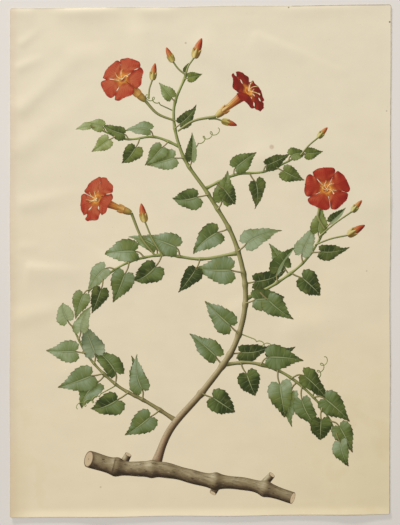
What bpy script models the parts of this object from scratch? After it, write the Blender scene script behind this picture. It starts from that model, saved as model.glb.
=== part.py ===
"""One sheet of vellum, the support of a painted plate, lying on a table with its flesh side down.

The skin was stretched while wet and has since cockled: shallow ridges run in from the left edge, from the
head and from the right edge, the foot curls up, and the head rolls over at its cut. The sheet is cut a
little out of square, with worn corners.
Units are metres. +Z is up, +Y points to the head of the sheet, and the origin is on the table under the
middle of the sheet.
"""

import math
from typing import NamedTuple

import bmesh
import bpy
import numpy as np

MM = 0.001

# Driving dimensions of the cut sheet
SHEET_WIDTH = 381.0 * MM
SHEET_HEIGHT = 513.0 * MM  # from the lowest corner to the highest
SKIN_THICKNESS = 0.5 * MM
CORNER_WEAR = 1.4 * MM  # how far in each corner is rubbed away

# How far each corner stands in from the rectangle that bounds the sheet
HEAD_LEFT_DROP = 4.1 * MM
HEAD_LEFT_INSET = 0.2 * MM
FOOT_RIGHT_RISE = 3.4 * MM
FOOT_RIGHT_INSET = 1.4 * MM

# The knife wandered: each edge bows in and out of its straight line
EDGE_WANDER = 0.35 * MM
WAVES_ALONG_EDGE = 3

# Mesh density. Columns and rows crowd a little towards the edges, where the skin bends most
COLUMNS = 26
ROWS = 82
COLUMN_CROWDING = 0.55
ROW_CROWDING = 0.3

# The middle of the sheet lies dead flat on the table: a summed lift lower than this is pressed flat
FLAT_BELOW = 0.05 * MM


class Cockle(NamedTuple):
    """A low ridge in the skin, highest at start and dying away towards end, in metres.

    It slopes off over the distance spread on its left, seen from start to end, and over lee on its right.
    """

    start: tuple
    end: tuple
    crest: float
    spread: float
    lee: float


class EdgeLift(NamedTuple):
    """How an edge stands off the table: it falls straight from its height at the cut, over its reach.

    Then it bends flat over the distance bend. It comes and goes along the edge in waves, and keeps at least
    the given share between them.
    """

    height: float
    reach: float
    bend: float
    waves: float
    least: float


class HeadRoll(NamedTuple):
    """A stretch of the head that stands up just inside the cut and comes down again at it."""

    middle: float
    half_length: float
    height: float


def cockle_mm(start, end, crest, spread, lee):
    """A cockle given in millimetres from the middle of the sheet."""
    ends = (tuple(MM * value for value in point) for point in (start, end))
    return Cockle(*ends, MM * crest, MM * spread, MM * lee)


COCKLES = (
    # ridges that slant up from the left edge towards the head
    cockle_mm(start=(-178, 218), end=(-154, 237), crest=0.56, spread=5.0, lee=5.0),
    cockle_mm(start=(-181, 194), end=(-148, 208), crest=0.75, spread=4.5, lee=6.5),
    cockle_mm(start=(-178, 153), end=(-112, 214), crest=1.15, spread=9.0, lee=8.0),
    cockle_mm(start=(-126, 204), end=(-70, 213), crest=0.62, spread=9.0, lee=12.0),
    cockle_mm(start=(-180, 112), end=(-92, 180), crest=0.85, spread=11.0, lee=12.0),
    # ridges that run straight in from the left edge, half way down
    cockle_mm(start=(-176, 57), end=(-102, 73), crest=0.85, spread=7.0, lee=9.0),
    cockle_mm(start=(-178, 14), end=(-152, 16), crest=0.38, spread=4.0, lee=5.0),
    cockle_mm(start=(-170, -7), end=(-98, -11), crest=1.19, spread=4.5, lee=14.0),
    cockle_mm(start=(-178, -56), end=(-104, -36), crest=0.81, spread=9.0, lee=9.0),
    cockle_mm(start=(-130, -108), end=(-72, -113), crest=0.56, spread=9.0, lee=12.0),
    # two swells that part from one point left of the middle
    cockle_mm(start=(-88, -6), end=(-130, 28), crest=0.50, spread=9.0, lee=6.0),
    cockle_mm(start=(-84, -10), end=(10, 32), crest=1.25, spread=16.0, lee=16.0),
    # slack swells that hang from the head
    cockle_mm(start=(-62, 226), end=(-52, 156), crest=0.69, spread=10.0, lee=10.0),
    cockle_mm(start=(4, 214), end=(52, 168), crest=1.19, spread=12.0, lee=12.0),
    # an old crease that crosses the head of the sheet on the right
    cockle_mm(start=(56, 226), end=(190, 168), crest=0.62, spread=4.0, lee=16.0),
    # broad swells in the right half and up from the foot
    cockle_mm(start=(62, 104), end=(122, 98), crest=1.38, spread=17.0, lee=14.0),
    cockle_mm(start=(190, 60), end=(112, 56), crest=0.44, spread=15.0, lee=15.0),
    cockle_mm(start=(36, -48), end=(94, -40), crest=0.75, spread=9.0, lee=12.0),
    cockle_mm(start=(95, -68), end=(160, -58), crest=1.06, spread=14.0, lee=14.0),
    cockle_mm(start=(150, -250), end=(132, -176), crest=0.75, spread=17.0, lee=17.0),
    cockle_mm(start=(-104, -250), end=(-110, -182), crest=0.62, spread=16.0, lee=16.0),
)

FOOT = EdgeLift(height=1.35 * MM, reach=6.4 * MM, bend=1.2 * MM, waves=3.4, least=0.8)
LEFT = EdgeLift(height=1.5 * MM, reach=4.0 * MM, bend=6.0 * MM, waves=4.0, least=0.5)
RIGHT = EdgeLift(height=0.35 * MM, reach=3.0 * MM, bend=4.0 * MM, waves=3.0, least=0.6)
HEAD = EdgeLift(height=0.3 * MM, reach=3.5 * MM, bend=5.0 * MM, waves=2.0, least=0.5)

# The curled foot comes down towards the corners: to the table on the left, and part of the way on the right
FOOT_CORNER_REACH = 12.0 * MM
FOOT_RIGHT_FALL = 0.45

HEAD_ROLL_REACH = 4.5 * MM
HEAD_ROLLS = (
    HeadRoll(middle=-178 * MM, half_length=12 * MM, height=0.6 * MM),
    HeadRoll(middle=-115 * MM, half_length=30 * MM, height=1.1 * MM),
    HeadRoll(middle=-45 * MM, half_length=18 * MM, height=0.75 * MM),
    HeadRoll(middle=118 * MM, half_length=42 * MM, height=0.45 * MM),
)

VELLUM_COLOUR = (0.74, 0.64, 0.45, 1.0)
VELLUM_ROUGHNESS = 0.6
SHARP_FROM = math.radians(40)


def crowd_to_ends(share, crowding):
    """Moves a share from 0 to 1 so that even steps of it bunch up at both ends."""
    return share - crowding / math.tau * np.sin(math.tau * share)


def outline_point(across, along):
    """Where a point of the sheet lies on the table.

    across runs from 0 at the left edge to 1 at the right one, and along from 0 at the foot to 1 at the
    head. The four corners are blended, and the edges then bow by a slow sine.
    """
    left_x = -SHEET_WIDTH / 2 + HEAD_LEFT_INSET * along
    right_x = SHEET_WIDTH / 2 - FOOT_RIGHT_INSET * (1 - along)
    foot_y = -SHEET_HEIGHT / 2 + FOOT_RIGHT_RISE * across
    head_y = SHEET_HEIGHT / 2 - HEAD_LEFT_DROP * (1 - across)
    x = left_x + (right_x - left_x) * across
    y = foot_y + (head_y - foot_y) * along
    bow_x = np.sin(math.pi * along) * np.sin(math.tau * WAVES_ALONG_EDGE * along)
    bow_y = np.sin(math.pi * across) * np.sin(math.tau * WAVES_ALONG_EDGE * across)
    return x - EDGE_WANDER * bow_x * (2 * across - 1), y - EDGE_WANDER * bow_y * (2 * along - 1)


def cockle_height(cockle, x, y):
    """A ridge's height: a bell across its line, which falls from its crest to nothing along it.

    The bell's left half is as wide as the cockle's spread, and its right half as its lee.
    """
    start = np.array(cockle.start)
    line = np.array(cockle.end) - start
    length = math.hypot(*line)
    towards = line / length
    along = ((x - start[0]) * towards[0] + (y - start[1]) * towards[1]) / length
    aside = (x - start[0]) * -towards[1] + (y - start[1]) * towards[0]
    left_to_run = np.clip(1 - along, 0, 1)
    fade = left_to_run * left_to_run * (3 - 2 * left_to_run)
    width = np.where(aside > 0, cockle.spread, cockle.lee)
    before_start = np.minimum(along, 0) * length / cockle.spread
    return cockle.crest * fade * np.exp(-((aside / width) ** 2) - before_start**2)


def lift_height(edge, inwards, share):
    """An edge's lift at a distance in from its cut, and at a share of the way along it."""
    wave = 0.5 + 0.5 * np.cos(math.tau * edge.waves * share)
    fall = np.logaddexp(0, (edge.reach - inwards) / edge.bend) / np.logaddexp(0, edge.reach / edge.bend)
    return edge.height * (edge.least + (1 - edge.least) * wave) * fall


def head_roll_height(x, from_head):
    """The rolls at the head: nothing at the cut, full height at their reach, and then a slow fall."""
    inwards = from_head / HEAD_ROLL_REACH
    profile = math.e * inwards * np.exp(-inwards)
    rolls = (r.height * np.exp(-(((x - r.middle) / r.half_length) ** 4)) for r in HEAD_ROLLS)
    return profile * sum(rolls)


def skin_height(across, along):
    """How high the underside of the skin stands over the table. Low sums are pressed flat."""
    x, y = outline_point(across, along)
    from_left = across * SHEET_WIDTH
    from_right = (1 - across) * SHEET_WIDTH
    from_foot = along * SHEET_HEIGHT
    from_head = (1 - along) * SHEET_HEIGHT
    foot_stays = 1 - np.exp(-from_left / FOOT_CORNER_REACH)
    foot_stays = foot_stays * (1 - FOOT_RIGHT_FALL * np.exp(-from_right / FOOT_CORNER_REACH))
    height = lift_height(FOOT, from_foot, across) * foot_stays
    height = height + lift_height(LEFT, from_left, along) + lift_height(RIGHT, from_right, along)
    height = height + lift_height(HEAD, from_head, across) + head_roll_height(x, from_head)
    for cockle in COCKLES:
        height = height + cockle_height(cockle, x, y)
    return np.maximum(height - FLAT_BELOW, 0)


def shape_skin(mesh):
    """Lays a unit grid out as the underside of the sheet."""
    for vertex in mesh.verts:
        across = crowd_to_ends(vertex.co.x + 0.5, COLUMN_CROWDING)
        along = crowd_to_ends(vertex.co.y + 0.5, ROW_CROWDING)
        x, y = outline_point(across, along)
        vertex.co = (x, y, skin_height(across, along))


def corner_edges(mesh):
    """The upright edges at the four corners of the sheet."""
    upright = [e for e in mesh.edges if (e.verts[0].co.xy - e.verts[1].co.xy).length < CORNER_WEAR / 1000]
    ways = ((-1, -1), (1, -1), (-1, 1), (1, 1))
    return [max(upright, key=lambda e: e.verts[0].co.x * sx + e.verts[0].co.y * sy) for sx, sy in ways]


def vellum_material():
    """Cream calf vellum with a soft, dull surface."""
    material = bpy.data.materials.new("vellum")
    material.use_nodes = True
    material.diffuse_color = VELLUM_COLOUR
    shader = material.node_tree.nodes["Principled BSDF"]
    shader.inputs["Base Color"].default_value = VELLUM_COLOUR
    shader.inputs["Roughness"].default_value = VELLUM_ROUGHNESS
    shader.inputs["Metallic"].default_value = 0.0
    return material


def make_vellum_sheet():
    """Builds the sheet: its underside is laid out, split into triangles and raised by its thickness."""
    mesh = bmesh.new()
    bmesh.ops.create_grid(mesh, x_segments=COLUMNS, y_segments=ROWS, size=0.5)
    shape_skin(mesh)
    bmesh.ops.triangulate(mesh, faces=mesh.faces[:])
    raised = bmesh.ops.extrude_face_region(mesh, geom=mesh.faces[:])["geom"]
    top = [item for item in raised if isinstance(item, bmesh.types.BMVert)]
    bmesh.ops.translate(mesh, verts=top, vec=(0, 0, SKIN_THICKNESS))
    bmesh.ops.bevel(
        mesh, geom=corner_edges(mesh), offset=CORNER_WEAR, segments=2, profile=0.5, affect="EDGES"
    )
    bmesh.ops.recalc_face_normals(mesh, faces=mesh.faces[:])
    data = bpy.data.meshes.new("vellum_sheet")
    mesh.to_mesh(data)
    mesh.free()
    data.materials.append(vellum_material())
    data.shade_smooth()
    data.set_sharp_from_angle(angle=SHARP_FROM)
    sheet = bpy.data.objects.new("vellum_sheet", data)
    bpy.context.scene.collection.objects.link(sheet)
    return sheet


def main():
    """Clears the scene and builds the one piece of the part."""
    for old in list(bpy.data.objects):
        bpy.data.objects.remove(old)
    make_vellum_sheet()


main()
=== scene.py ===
"""The looks of a painted vellum sheet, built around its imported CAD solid.

The sheet is one calf skin, scraped, pounced and cut to a folio. It has cockled, its foot curls up, and its
head rolls over at the cut. On it a flowering climber is painted from life, in gum-bound colour: a generic
plant with heart-shaped toothed leaves, five-lobed orange-red flowers, buds and tendrils.

Every painted form is first worked out as a small relief in space, with the light of the painter's window
on it, and is then pressed flat onto the skin as a closed film of paint. What is painted later lies higher.
All sizes below are in millimetres, in the frame of the CAD, and are turned into metres when a mesh is made.
"""

import logging
import math
from dataclasses import dataclass, field, replace
from enum import Enum
from typing import Sequence

import bpy
import numpy as np
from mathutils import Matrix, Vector


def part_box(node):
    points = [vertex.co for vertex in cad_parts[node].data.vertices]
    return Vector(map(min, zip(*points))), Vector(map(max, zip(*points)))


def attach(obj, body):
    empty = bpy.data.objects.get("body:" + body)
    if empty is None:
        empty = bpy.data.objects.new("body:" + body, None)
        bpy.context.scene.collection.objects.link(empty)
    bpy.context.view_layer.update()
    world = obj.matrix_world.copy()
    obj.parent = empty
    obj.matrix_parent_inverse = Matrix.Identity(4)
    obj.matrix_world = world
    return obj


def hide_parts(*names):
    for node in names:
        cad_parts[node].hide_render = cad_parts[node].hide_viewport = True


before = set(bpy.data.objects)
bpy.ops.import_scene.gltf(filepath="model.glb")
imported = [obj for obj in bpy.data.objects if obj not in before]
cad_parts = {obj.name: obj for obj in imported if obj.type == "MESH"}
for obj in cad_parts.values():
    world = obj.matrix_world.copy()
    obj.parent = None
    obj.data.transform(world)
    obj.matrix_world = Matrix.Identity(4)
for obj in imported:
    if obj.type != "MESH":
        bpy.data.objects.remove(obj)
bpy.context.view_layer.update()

MM = 0.001
PER_METRE = 1000
NODE = "vellum_sheet"
BODY = "root"

Array = np.ndarray
Point = tuple[float, float]
Grid = tuple[int, int]
Stops = tuple[tuple[float, str], ...]
LOG = logging.getLogger("painted_vellum")
SHARP_ANGLE = math.radians(45)
CURVE_STEPS = 40


# Arrays and meshes


def smooth_line(points: Sequence[Point], rows: int) -> Array:
    """Runs a smooth curve through points and spaces its rows evenly along it.

    Between two points it is a cubic, and at each point it runs parallel to the line between its neighbours.

    Args:
        points: the places that the curve passes through.
        rows: how many points come back.

    Returns:
        An array of rows x 2.
    """
    given = np.array(points, float)
    ends = np.vstack([2 * given[0] - given[1], given, 2 * given[-1] - given[-2]])
    steps = np.linspace(0, len(given) - 1, CURVE_STEPS * len(given))
    span = np.minimum(steps.astype(int), len(given) - 2)
    f = (steps - span)[:, None]
    a, b, c, d = (ends[span + shift] for shift in range(4))
    curve = b + 0.5 * f * (c - a + f * (2 * a - 5 * b + 4 * c - d + f * (3 * b - a - 3 * c + d)))
    return even_steps(curve, rows)


def even_steps(curve: Array, rows: int) -> Array:
    """Walks a curve, given by points close together, in equal steps of its own length."""
    walked = np.concatenate([[0], np.cumsum(np.linalg.norm(np.diff(curve, axis=0), axis=1))])
    stations = np.linspace(0, walked[-1], rows)
    return np.stack([np.interp(stations, walked, curve[:, k]) for k in range(2)], axis=1)


def towards(degrees: float) -> Array:
    """The unit step on the sheet at an angle counted from +X towards +Y."""
    return np.array([math.cos(math.radians(degrees)), math.sin(math.radians(degrees))])


def bearing(way: Sequence[float]) -> float:
    """The angle of a direction on the sheet, in degrees from +X towards +Y."""
    return math.degrees(math.atan2(way[1], way[0]))


def left_of(way: Sequence[float]) -> Array:
    """A step on the sheet, turned a quarter to the left."""
    return np.array([-way[1], way[0]])


def rightwards(line: Array) -> Array:
    """The unit steps to the right of a line, at each of its points."""
    step = np.gradient(line, axis=0)
    step = step / np.linalg.norm(step, axis=1, keepdims=True)
    return np.stack([step[:, 1], -step[:, 0]], axis=1)


def turned(points: Array, axis: Sequence[float], degrees: float) -> Array:
    """Turns points about an axis through the origin, by the right-hand rule.

    Args:
        points: an array whose last axis holds x, y and z.
        axis: the direction to turn about.
        degrees: how far.

    Returns:
        The turned points, in an array of the same shape.
    """
    k = np.array(axis, float) / np.linalg.norm(axis)
    angle = math.radians(degrees)
    along = (points @ k)[..., None] * k * (1 - math.cos(angle))
    return points * math.cos(angle) + np.cross(k, points) * math.sin(angle) + along


def moved(points: Array, place: Sequence[float]) -> Array:
    """Shifts points on the sheet by x and y."""
    return points + np.array([place[0], place[1], 0.0])


def set_down(points: Array, heading: float, place: Sequence[float]) -> Array:
    """Turns a form that points to +Y towards a heading, and puts its origin at a place."""
    return moved(turned(points, (0, 0, 1), heading - 90), place)


def slab_quads(rows: int, columns: int) -> tuple[Array, Array]:
    """Numbers the faces of a slab: a top grid, then a bottom grid, closed by a wall round the rim.

    Args:
        rows: points along the grid.
        columns: points across it.

    Returns:
        The quads, with every face outwards where the grid runs anticlockwise seen from above, and the
        numbers of the top points round the rim, anticlockwise.
    """
    number = np.arange(rows * columns).reshape(rows, columns)
    ring = np.concatenate([number[0, :-1], number[:-1, -1], number[-1, :0:-1], number[:0:-1, 0]])
    top = np.stack([number[:-1, :-1], number[:-1, 1:], number[1:, 1:], number[1:, :-1]], axis=-1)
    top = top.reshape(-1, 4)
    below = rows * columns
    following = np.roll(ring, -1)
    wall = np.stack([ring, ring + below, following + below, following], axis=-1)
    return np.vstack([top, top[:, ::-1] + below, wall]), ring


def make_piece(
    name: str,
    points: Array,
    quads: Array,
    uv: Array,
    values: dict[str, Array],
    materials: Sequence[bpy.types.Material],
    material_of: Array | None = None,
) -> bpy.types.Object:
    """Makes one object from arrays, at the origin, and puts it on the CAD's body.

    Args:
        name: the piece's name.
        points: points x 3, in millimetres.
        quads: faces x 4 point numbers.
        uv: points x 2, the piece's own map.
        values: attributes by name, each one number or one vector for a point.
        materials: the piece's finishes.
        material_of: the number of each face's finish, where there are several.

    Returns:
        The linked object.
    """
    mesh = bpy.data.meshes.new(name)
    mesh.from_pydata((points * MM).tolist(), [], quads.tolist())
    brush = mesh.uv_layers.new(name="brush")
    brush.data.foreach_set("uv", uv[quads.ravel()].astype(np.float32).ravel())
    for key, value in values.items():
        vector = value.ndim == 2
        attribute = mesh.attributes.new(key, "FLOAT_VECTOR" if vector else "FLOAT", "POINT")
        attribute.data.foreach_set("vector" if vector else "value", value.astype(np.float32).ravel())
    for material in materials:
        mesh.materials.append(material)
    if material_of is not None:
        mesh.polygons.foreach_set("material_index", material_of.astype(np.int32))
    mesh.shade_smooth()
    mesh.set_sharp_from_angle(angle=SHARP_ANGLE)
    piece = bpy.data.objects.new(name, mesh)
    bpy.context.scene.collection.objects.link(piece)
    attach(piece, BODY)
    LOG.info("%s: %d faces", name, len(quads))
    return piece


# Colours and shader nodes


def linear(colour: str) -> tuple[float, float, float, float]:
    """Turns an sRGB hex colour into the linear values that a shader takes."""
    shares = (int(colour[k : k + 2], 16) / 255 for k in (1, 3, 5))
    red, green, blue = (s / 12.92 if s <= 0.04045 else ((s + 0.055) / 1.055) ** 2.4 for s in shares)
    return red, green, blue, 1.0


class Flow:
    """A value that runs between a material's nodes, where +, - and * each put in one Math node."""

    def __init__(self, recipe: "Recipe", socket: bpy.types.NodeSocket) -> None:
        """Keeps the socket that the value comes out of, and its recipe."""
        self.recipe = recipe
        self.socket = socket

    def __add__(self, other: "Flow | float") -> "Flow":
        """The sum."""
        return self.recipe.maths("ADD", self, other)

    def __sub__(self, other: "Flow | float") -> "Flow":
        """The difference."""
        return self.recipe.maths("SUBTRACT", self, other)

    def __rsub__(self, other: float) -> "Flow":
        """What this leaves of a number."""
        return self.recipe.maths("SUBTRACT", other, self)

    def __mul__(self, other: "Flow | float") -> "Flow":
        """The product."""
        return self.recipe.maths("MULTIPLY", self, other)

    def __abs__(self) -> "Flow":
        """The value without its sign."""
        return self.recipe.maths("ABSOLUTE", self)


Colour = Flow | str


class Recipe:
    """One material while its nodes are put together."""

    def __init__(self, name: str) -> None:
        """Starts a material of this name with its Principled shader."""
        self.material = bpy.data.materials.new(name)
        self.material.use_nodes = True
        self.tree = self.material.node_tree
        self.shader = self.tree.nodes["Principled BSDF"]

    def feed(self, inlet: bpy.types.NodeSocket, value: Flow | float | tuple) -> None:
        """Links a flow to a node's input, or sets the input to a plain value."""
        if isinstance(value, Flow):
            self.tree.links.new(value.socket, inlet)
        else:
            inlet.default_value = value

    def add(self, kind: str, inputs: dict | None = None, out: int = 0, stops: Stops = (), **settings) -> Flow:
        """Adds one node.

        Args:
            kind: the node's type, without the words ShaderNode.
            inputs: by name or number, what each input is fed.
            out: the number of the output that comes back.
            stops: places and hex colours of a colour ramp.
            **settings: the node's own properties.

        Returns:
            What flows out of the chosen output.
        """
        node = self.tree.nodes.new("ShaderNode" + kind)
        for key, value in settings.items():
            setattr(node, key, value)
        for key, value in (inputs or {}).items():
            self.feed(node.inputs[key], value)
        for number, (place, colour) in enumerate(stops):
            ramp = node.color_ramp.elements
            element = ramp[number] if number < 2 else ramp.new(place)
            element.position = place
            element.color = linear(colour)
        return Flow(self, node.outputs[out])

    def place(self) -> Flow:
        """Where a point lies on the object, in metres."""
        return self.add("TexCoord", out=3)

    def attribute(self, name: str, out: int = 2) -> Flow:
        """What the mesh carries under a name: a number, or a vector through output 1."""
        return self.add("Attribute", out=out, attribute_name=name)

    def split(self, vector: Flow) -> list[Flow]:
        """The x and y of a vector."""
        return [self.add("SeparateXYZ", {0: vector}, out) for out in (0, 1)]

    def maths(self, operation: str, *values: Flow | float, clamp: bool = False) -> Flow:
        """The result of one Math operation."""
        return self.add("Math", dict(enumerate(values)), operation=operation, use_clamp=clamp)

    def blend(self, share: Flow, first: Colour, second: Colour) -> Flow:
        """Two colours mixed by a share, where a hex colour may stand for either."""
        pair = [linear(c) if isinstance(c, str) else c for c in (first, second)]
        return self.add("Mix", {0: share, 6: pair[0], 7: pair[1]}, 2, data_type="RGBA")

    def washed(self, colour: Colour, *washes: tuple[Flow, Colour]) -> Flow:
        """A colour under washes, each one a share and the colour that it brings, in their order."""
        for share, tint in washes:
            colour = self.blend(share, colour, tint)
        return colour

    def colours(self, share: Flow, stops: Stops) -> Flow:
        """A share read off a ramp of colours."""
        return self.add("ValToRGB", {0: share}, stops=stops)

    def ramp(self, share: Flow, low: float, high: float, to_low: float = 0.0, to_high: float = 1.0) -> Flow:
        """A share that runs smoothly from to_low to to_high between low and high."""
        inputs = dict(enumerate((share, low, high, to_low, to_high)))
        return self.add("MapRange", inputs, interpolation_type="SMOOTHSTEP")

    def lines(self, share: Flow, count: float, half_width: float) -> Flow:
        """Fine lines: 1 on each of count evenly spaced lines, and 0 beyond their half width."""
        away = self.maths("PINGPONG", share * count, 0.5)
        return self.ramp(away, 0.3 * half_width, half_width, 1.0, 0.0)

    def stretched(self, vector: Flow, x: float, y: float) -> Flow:
        """A map with its x and y scaled."""
        return self.add("Mapping", {"Vector": vector, "Scale": (x, y, 1.0)})

    def noise(self, vector: Flow, scale: float, detail: float = 2.0, rough: float = 0.5) -> Flow:
        """Cloudy noise from 0 to 1, about 0.5, at a scale in grains per unit of its vector."""
        inputs = {"Vector": vector, "Scale": scale, "Detail": detail, "Roughness": rough}
        return self.add("TexNoise", inputs)

    def grains(self, place: Flow, size: float, detail: float = 2.0, rough: float = 0.5) -> Flow:
        """Cloudy noise whose grains are so many millimetres across."""
        return self.noise(place, PER_METRE / size, detail, rough)

    def cells(self, place: Flow, size: float) -> Flow:
        """The distance to the middle of the nearest cell, for cells of a size in millimetres."""
        return self.add("TexVoronoi", {"Vector": place, "Scale": PER_METRE / size})

    def finish(
        self,
        colour: Flow,
        roughness: Flow | float,
        relief: Flow,
        strength: float,
        depth: float,
        gloss: float = 0.5,
    ) -> bpy.types.Material:
        """Feeds the shader.

        Args:
            colour: the base colour.
            roughness: the roughness.
            relief: the height of the fine grain, from 0 to 1.
            strength: how strongly the grain shows.
            depth: how deep it is, in millimetres.
            gloss: the specular level.

        Returns:
            The material.
        """
        bump = self.add("Bump", {"Strength": strength, "Distance": depth * MM, "Height": relief})
        fed = {"Base Color": colour, "Roughness": roughness, "Specular IOR Level": gloss, "Normal": bump}
        for name, value in fed.items():
            self.feed(self.shader.inputs[name], value)
        return self.material


# The skin


@dataclass(frozen=True)
class Cockle:
    """A low ridge in the skin, highest at its start and gone at its end.

    It slopes off over the distance spread on its left, seen from start to end, and over lee on its right.
    """

    start: Point
    end: Point
    crest: float
    spread: float
    lee: float

    def height(self, x: Array, y: Array) -> Array:
        """A bell across the ridge's line, which falls from the crest to nothing along it."""
        line = np.subtract(self.end, self.start)
        length = math.hypot(*line)
        step = line / length
        along = ((x - self.start[0]) * step[0] + (y - self.start[1]) * step[1]) / length
        aside = (y - self.start[1]) * step[0] - (x - self.start[0]) * step[1]
        left = np.clip(1 - along, 0, 1)
        before = np.minimum(along, 0) * length / self.spread
        width = np.where(aside > 0, self.spread, self.lee)
        return self.crest * left * left * (3 - 2 * left) * np.exp(-((aside / width) ** 2) - before**2)


@dataclass(frozen=True)
class EdgeLift:
    """How an edge stands off the table: it falls straight from its height at the cut, over its reach.

    Then it bends flat over the distance bend. It comes and goes along the edge in waves, and keeps at least
    the given share between them.
    """

    rise: float
    reach: float
    bend: float
    waves: float
    least: float

    def height(self, inwards: Array, share: Array) -> Array:
        """The lift at a distance in from the cut and a share of the way along it."""
        wave = 0.5 + 0.5 * np.cos(math.tau * self.waves * share)
        fall = np.logaddexp(0, (self.reach - inwards) / self.bend)
        fall = fall / np.logaddexp(0, self.reach / self.bend)
        return self.rise * (self.least + (1 - self.least) * wave) * fall


@dataclass(frozen=True)
class HeadRoll:
    """A stretch of the head that stands up just inside the cut and comes down again at it."""

    middle: float
    half_length: float
    rise: float

    def height(self, x: Array, inwards: Array) -> Array:
        """Nothing at the cut, full height at inwards 1, a slow fall beyond, and flat-topped along x."""
        profile = math.e * inwards * np.exp(-inwards)
        return self.rise * profile * np.exp(-(((x - self.middle) / self.half_length) ** 4))


COCKLES = (
    # ridges that slant up from the left edge towards the head
    Cockle(start=(-178, 218), end=(-154, 237), crest=0.56, spread=5.0, lee=5.0),
    Cockle(start=(-181, 194), end=(-148, 208), crest=0.75, spread=4.5, lee=6.5),
    Cockle(start=(-178, 153), end=(-112, 214), crest=1.15, spread=9.0, lee=8.0),
    Cockle(start=(-126, 204), end=(-70, 213), crest=0.62, spread=9.0, lee=12.0),
    Cockle(start=(-180, 112), end=(-92, 180), crest=0.85, spread=11.0, lee=12.0),
    # ridges that run straight in from the left edge, half way down
    Cockle(start=(-176, 57), end=(-102, 73), crest=0.85, spread=7.0, lee=9.0),
    Cockle(start=(-178, 14), end=(-152, 16), crest=0.38, spread=4.0, lee=5.0),
    Cockle(start=(-170, -7), end=(-98, -11), crest=1.19, spread=4.5, lee=14.0),
    Cockle(start=(-178, -56), end=(-104, -36), crest=0.81, spread=9.0, lee=9.0),
    Cockle(start=(-130, -108), end=(-72, -113), crest=0.56, spread=9.0, lee=12.0),
    # two swells that part from one point left of the middle
    Cockle(start=(-88, -6), end=(-130, 28), crest=0.50, spread=9.0, lee=6.0),
    Cockle(start=(-84, -10), end=(10, 32), crest=1.25, spread=16.0, lee=16.0),
    # slack swells that hang from the head
    Cockle(start=(-62, 226), end=(-52, 156), crest=0.69, spread=10.0, lee=10.0),
    Cockle(start=(4, 214), end=(52, 168), crest=1.19, spread=12.0, lee=12.0),
    # an old crease that crosses the head of the sheet on the right
    Cockle(start=(56, 226), end=(190, 168), crest=0.62, spread=4.0, lee=16.0),
    # broad swells in the right half and up from the foot
    Cockle(start=(62, 104), end=(122, 98), crest=1.38, spread=17.0, lee=14.0),
    Cockle(start=(190, 60), end=(112, 56), crest=0.44, spread=15.0, lee=15.0),
    Cockle(start=(36, -48), end=(94, -40), crest=0.75, spread=9.0, lee=12.0),
    Cockle(start=(95, -68), end=(160, -58), crest=1.06, spread=14.0, lee=14.0),
    Cockle(start=(150, -250), end=(132, -176), crest=0.75, spread=17.0, lee=17.0),
    Cockle(start=(-104, -250), end=(-110, -182), crest=0.62, spread=16.0, lee=16.0),
)

HEAD_ROLLS = (
    HeadRoll(middle=-178, half_length=12, rise=0.6),
    HeadRoll(middle=-115, half_length=30, rise=1.1),
    HeadRoll(middle=-45, half_length=18, rise=0.75),
    HeadRoll(middle=118, half_length=42, rise=0.45),
)


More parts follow.
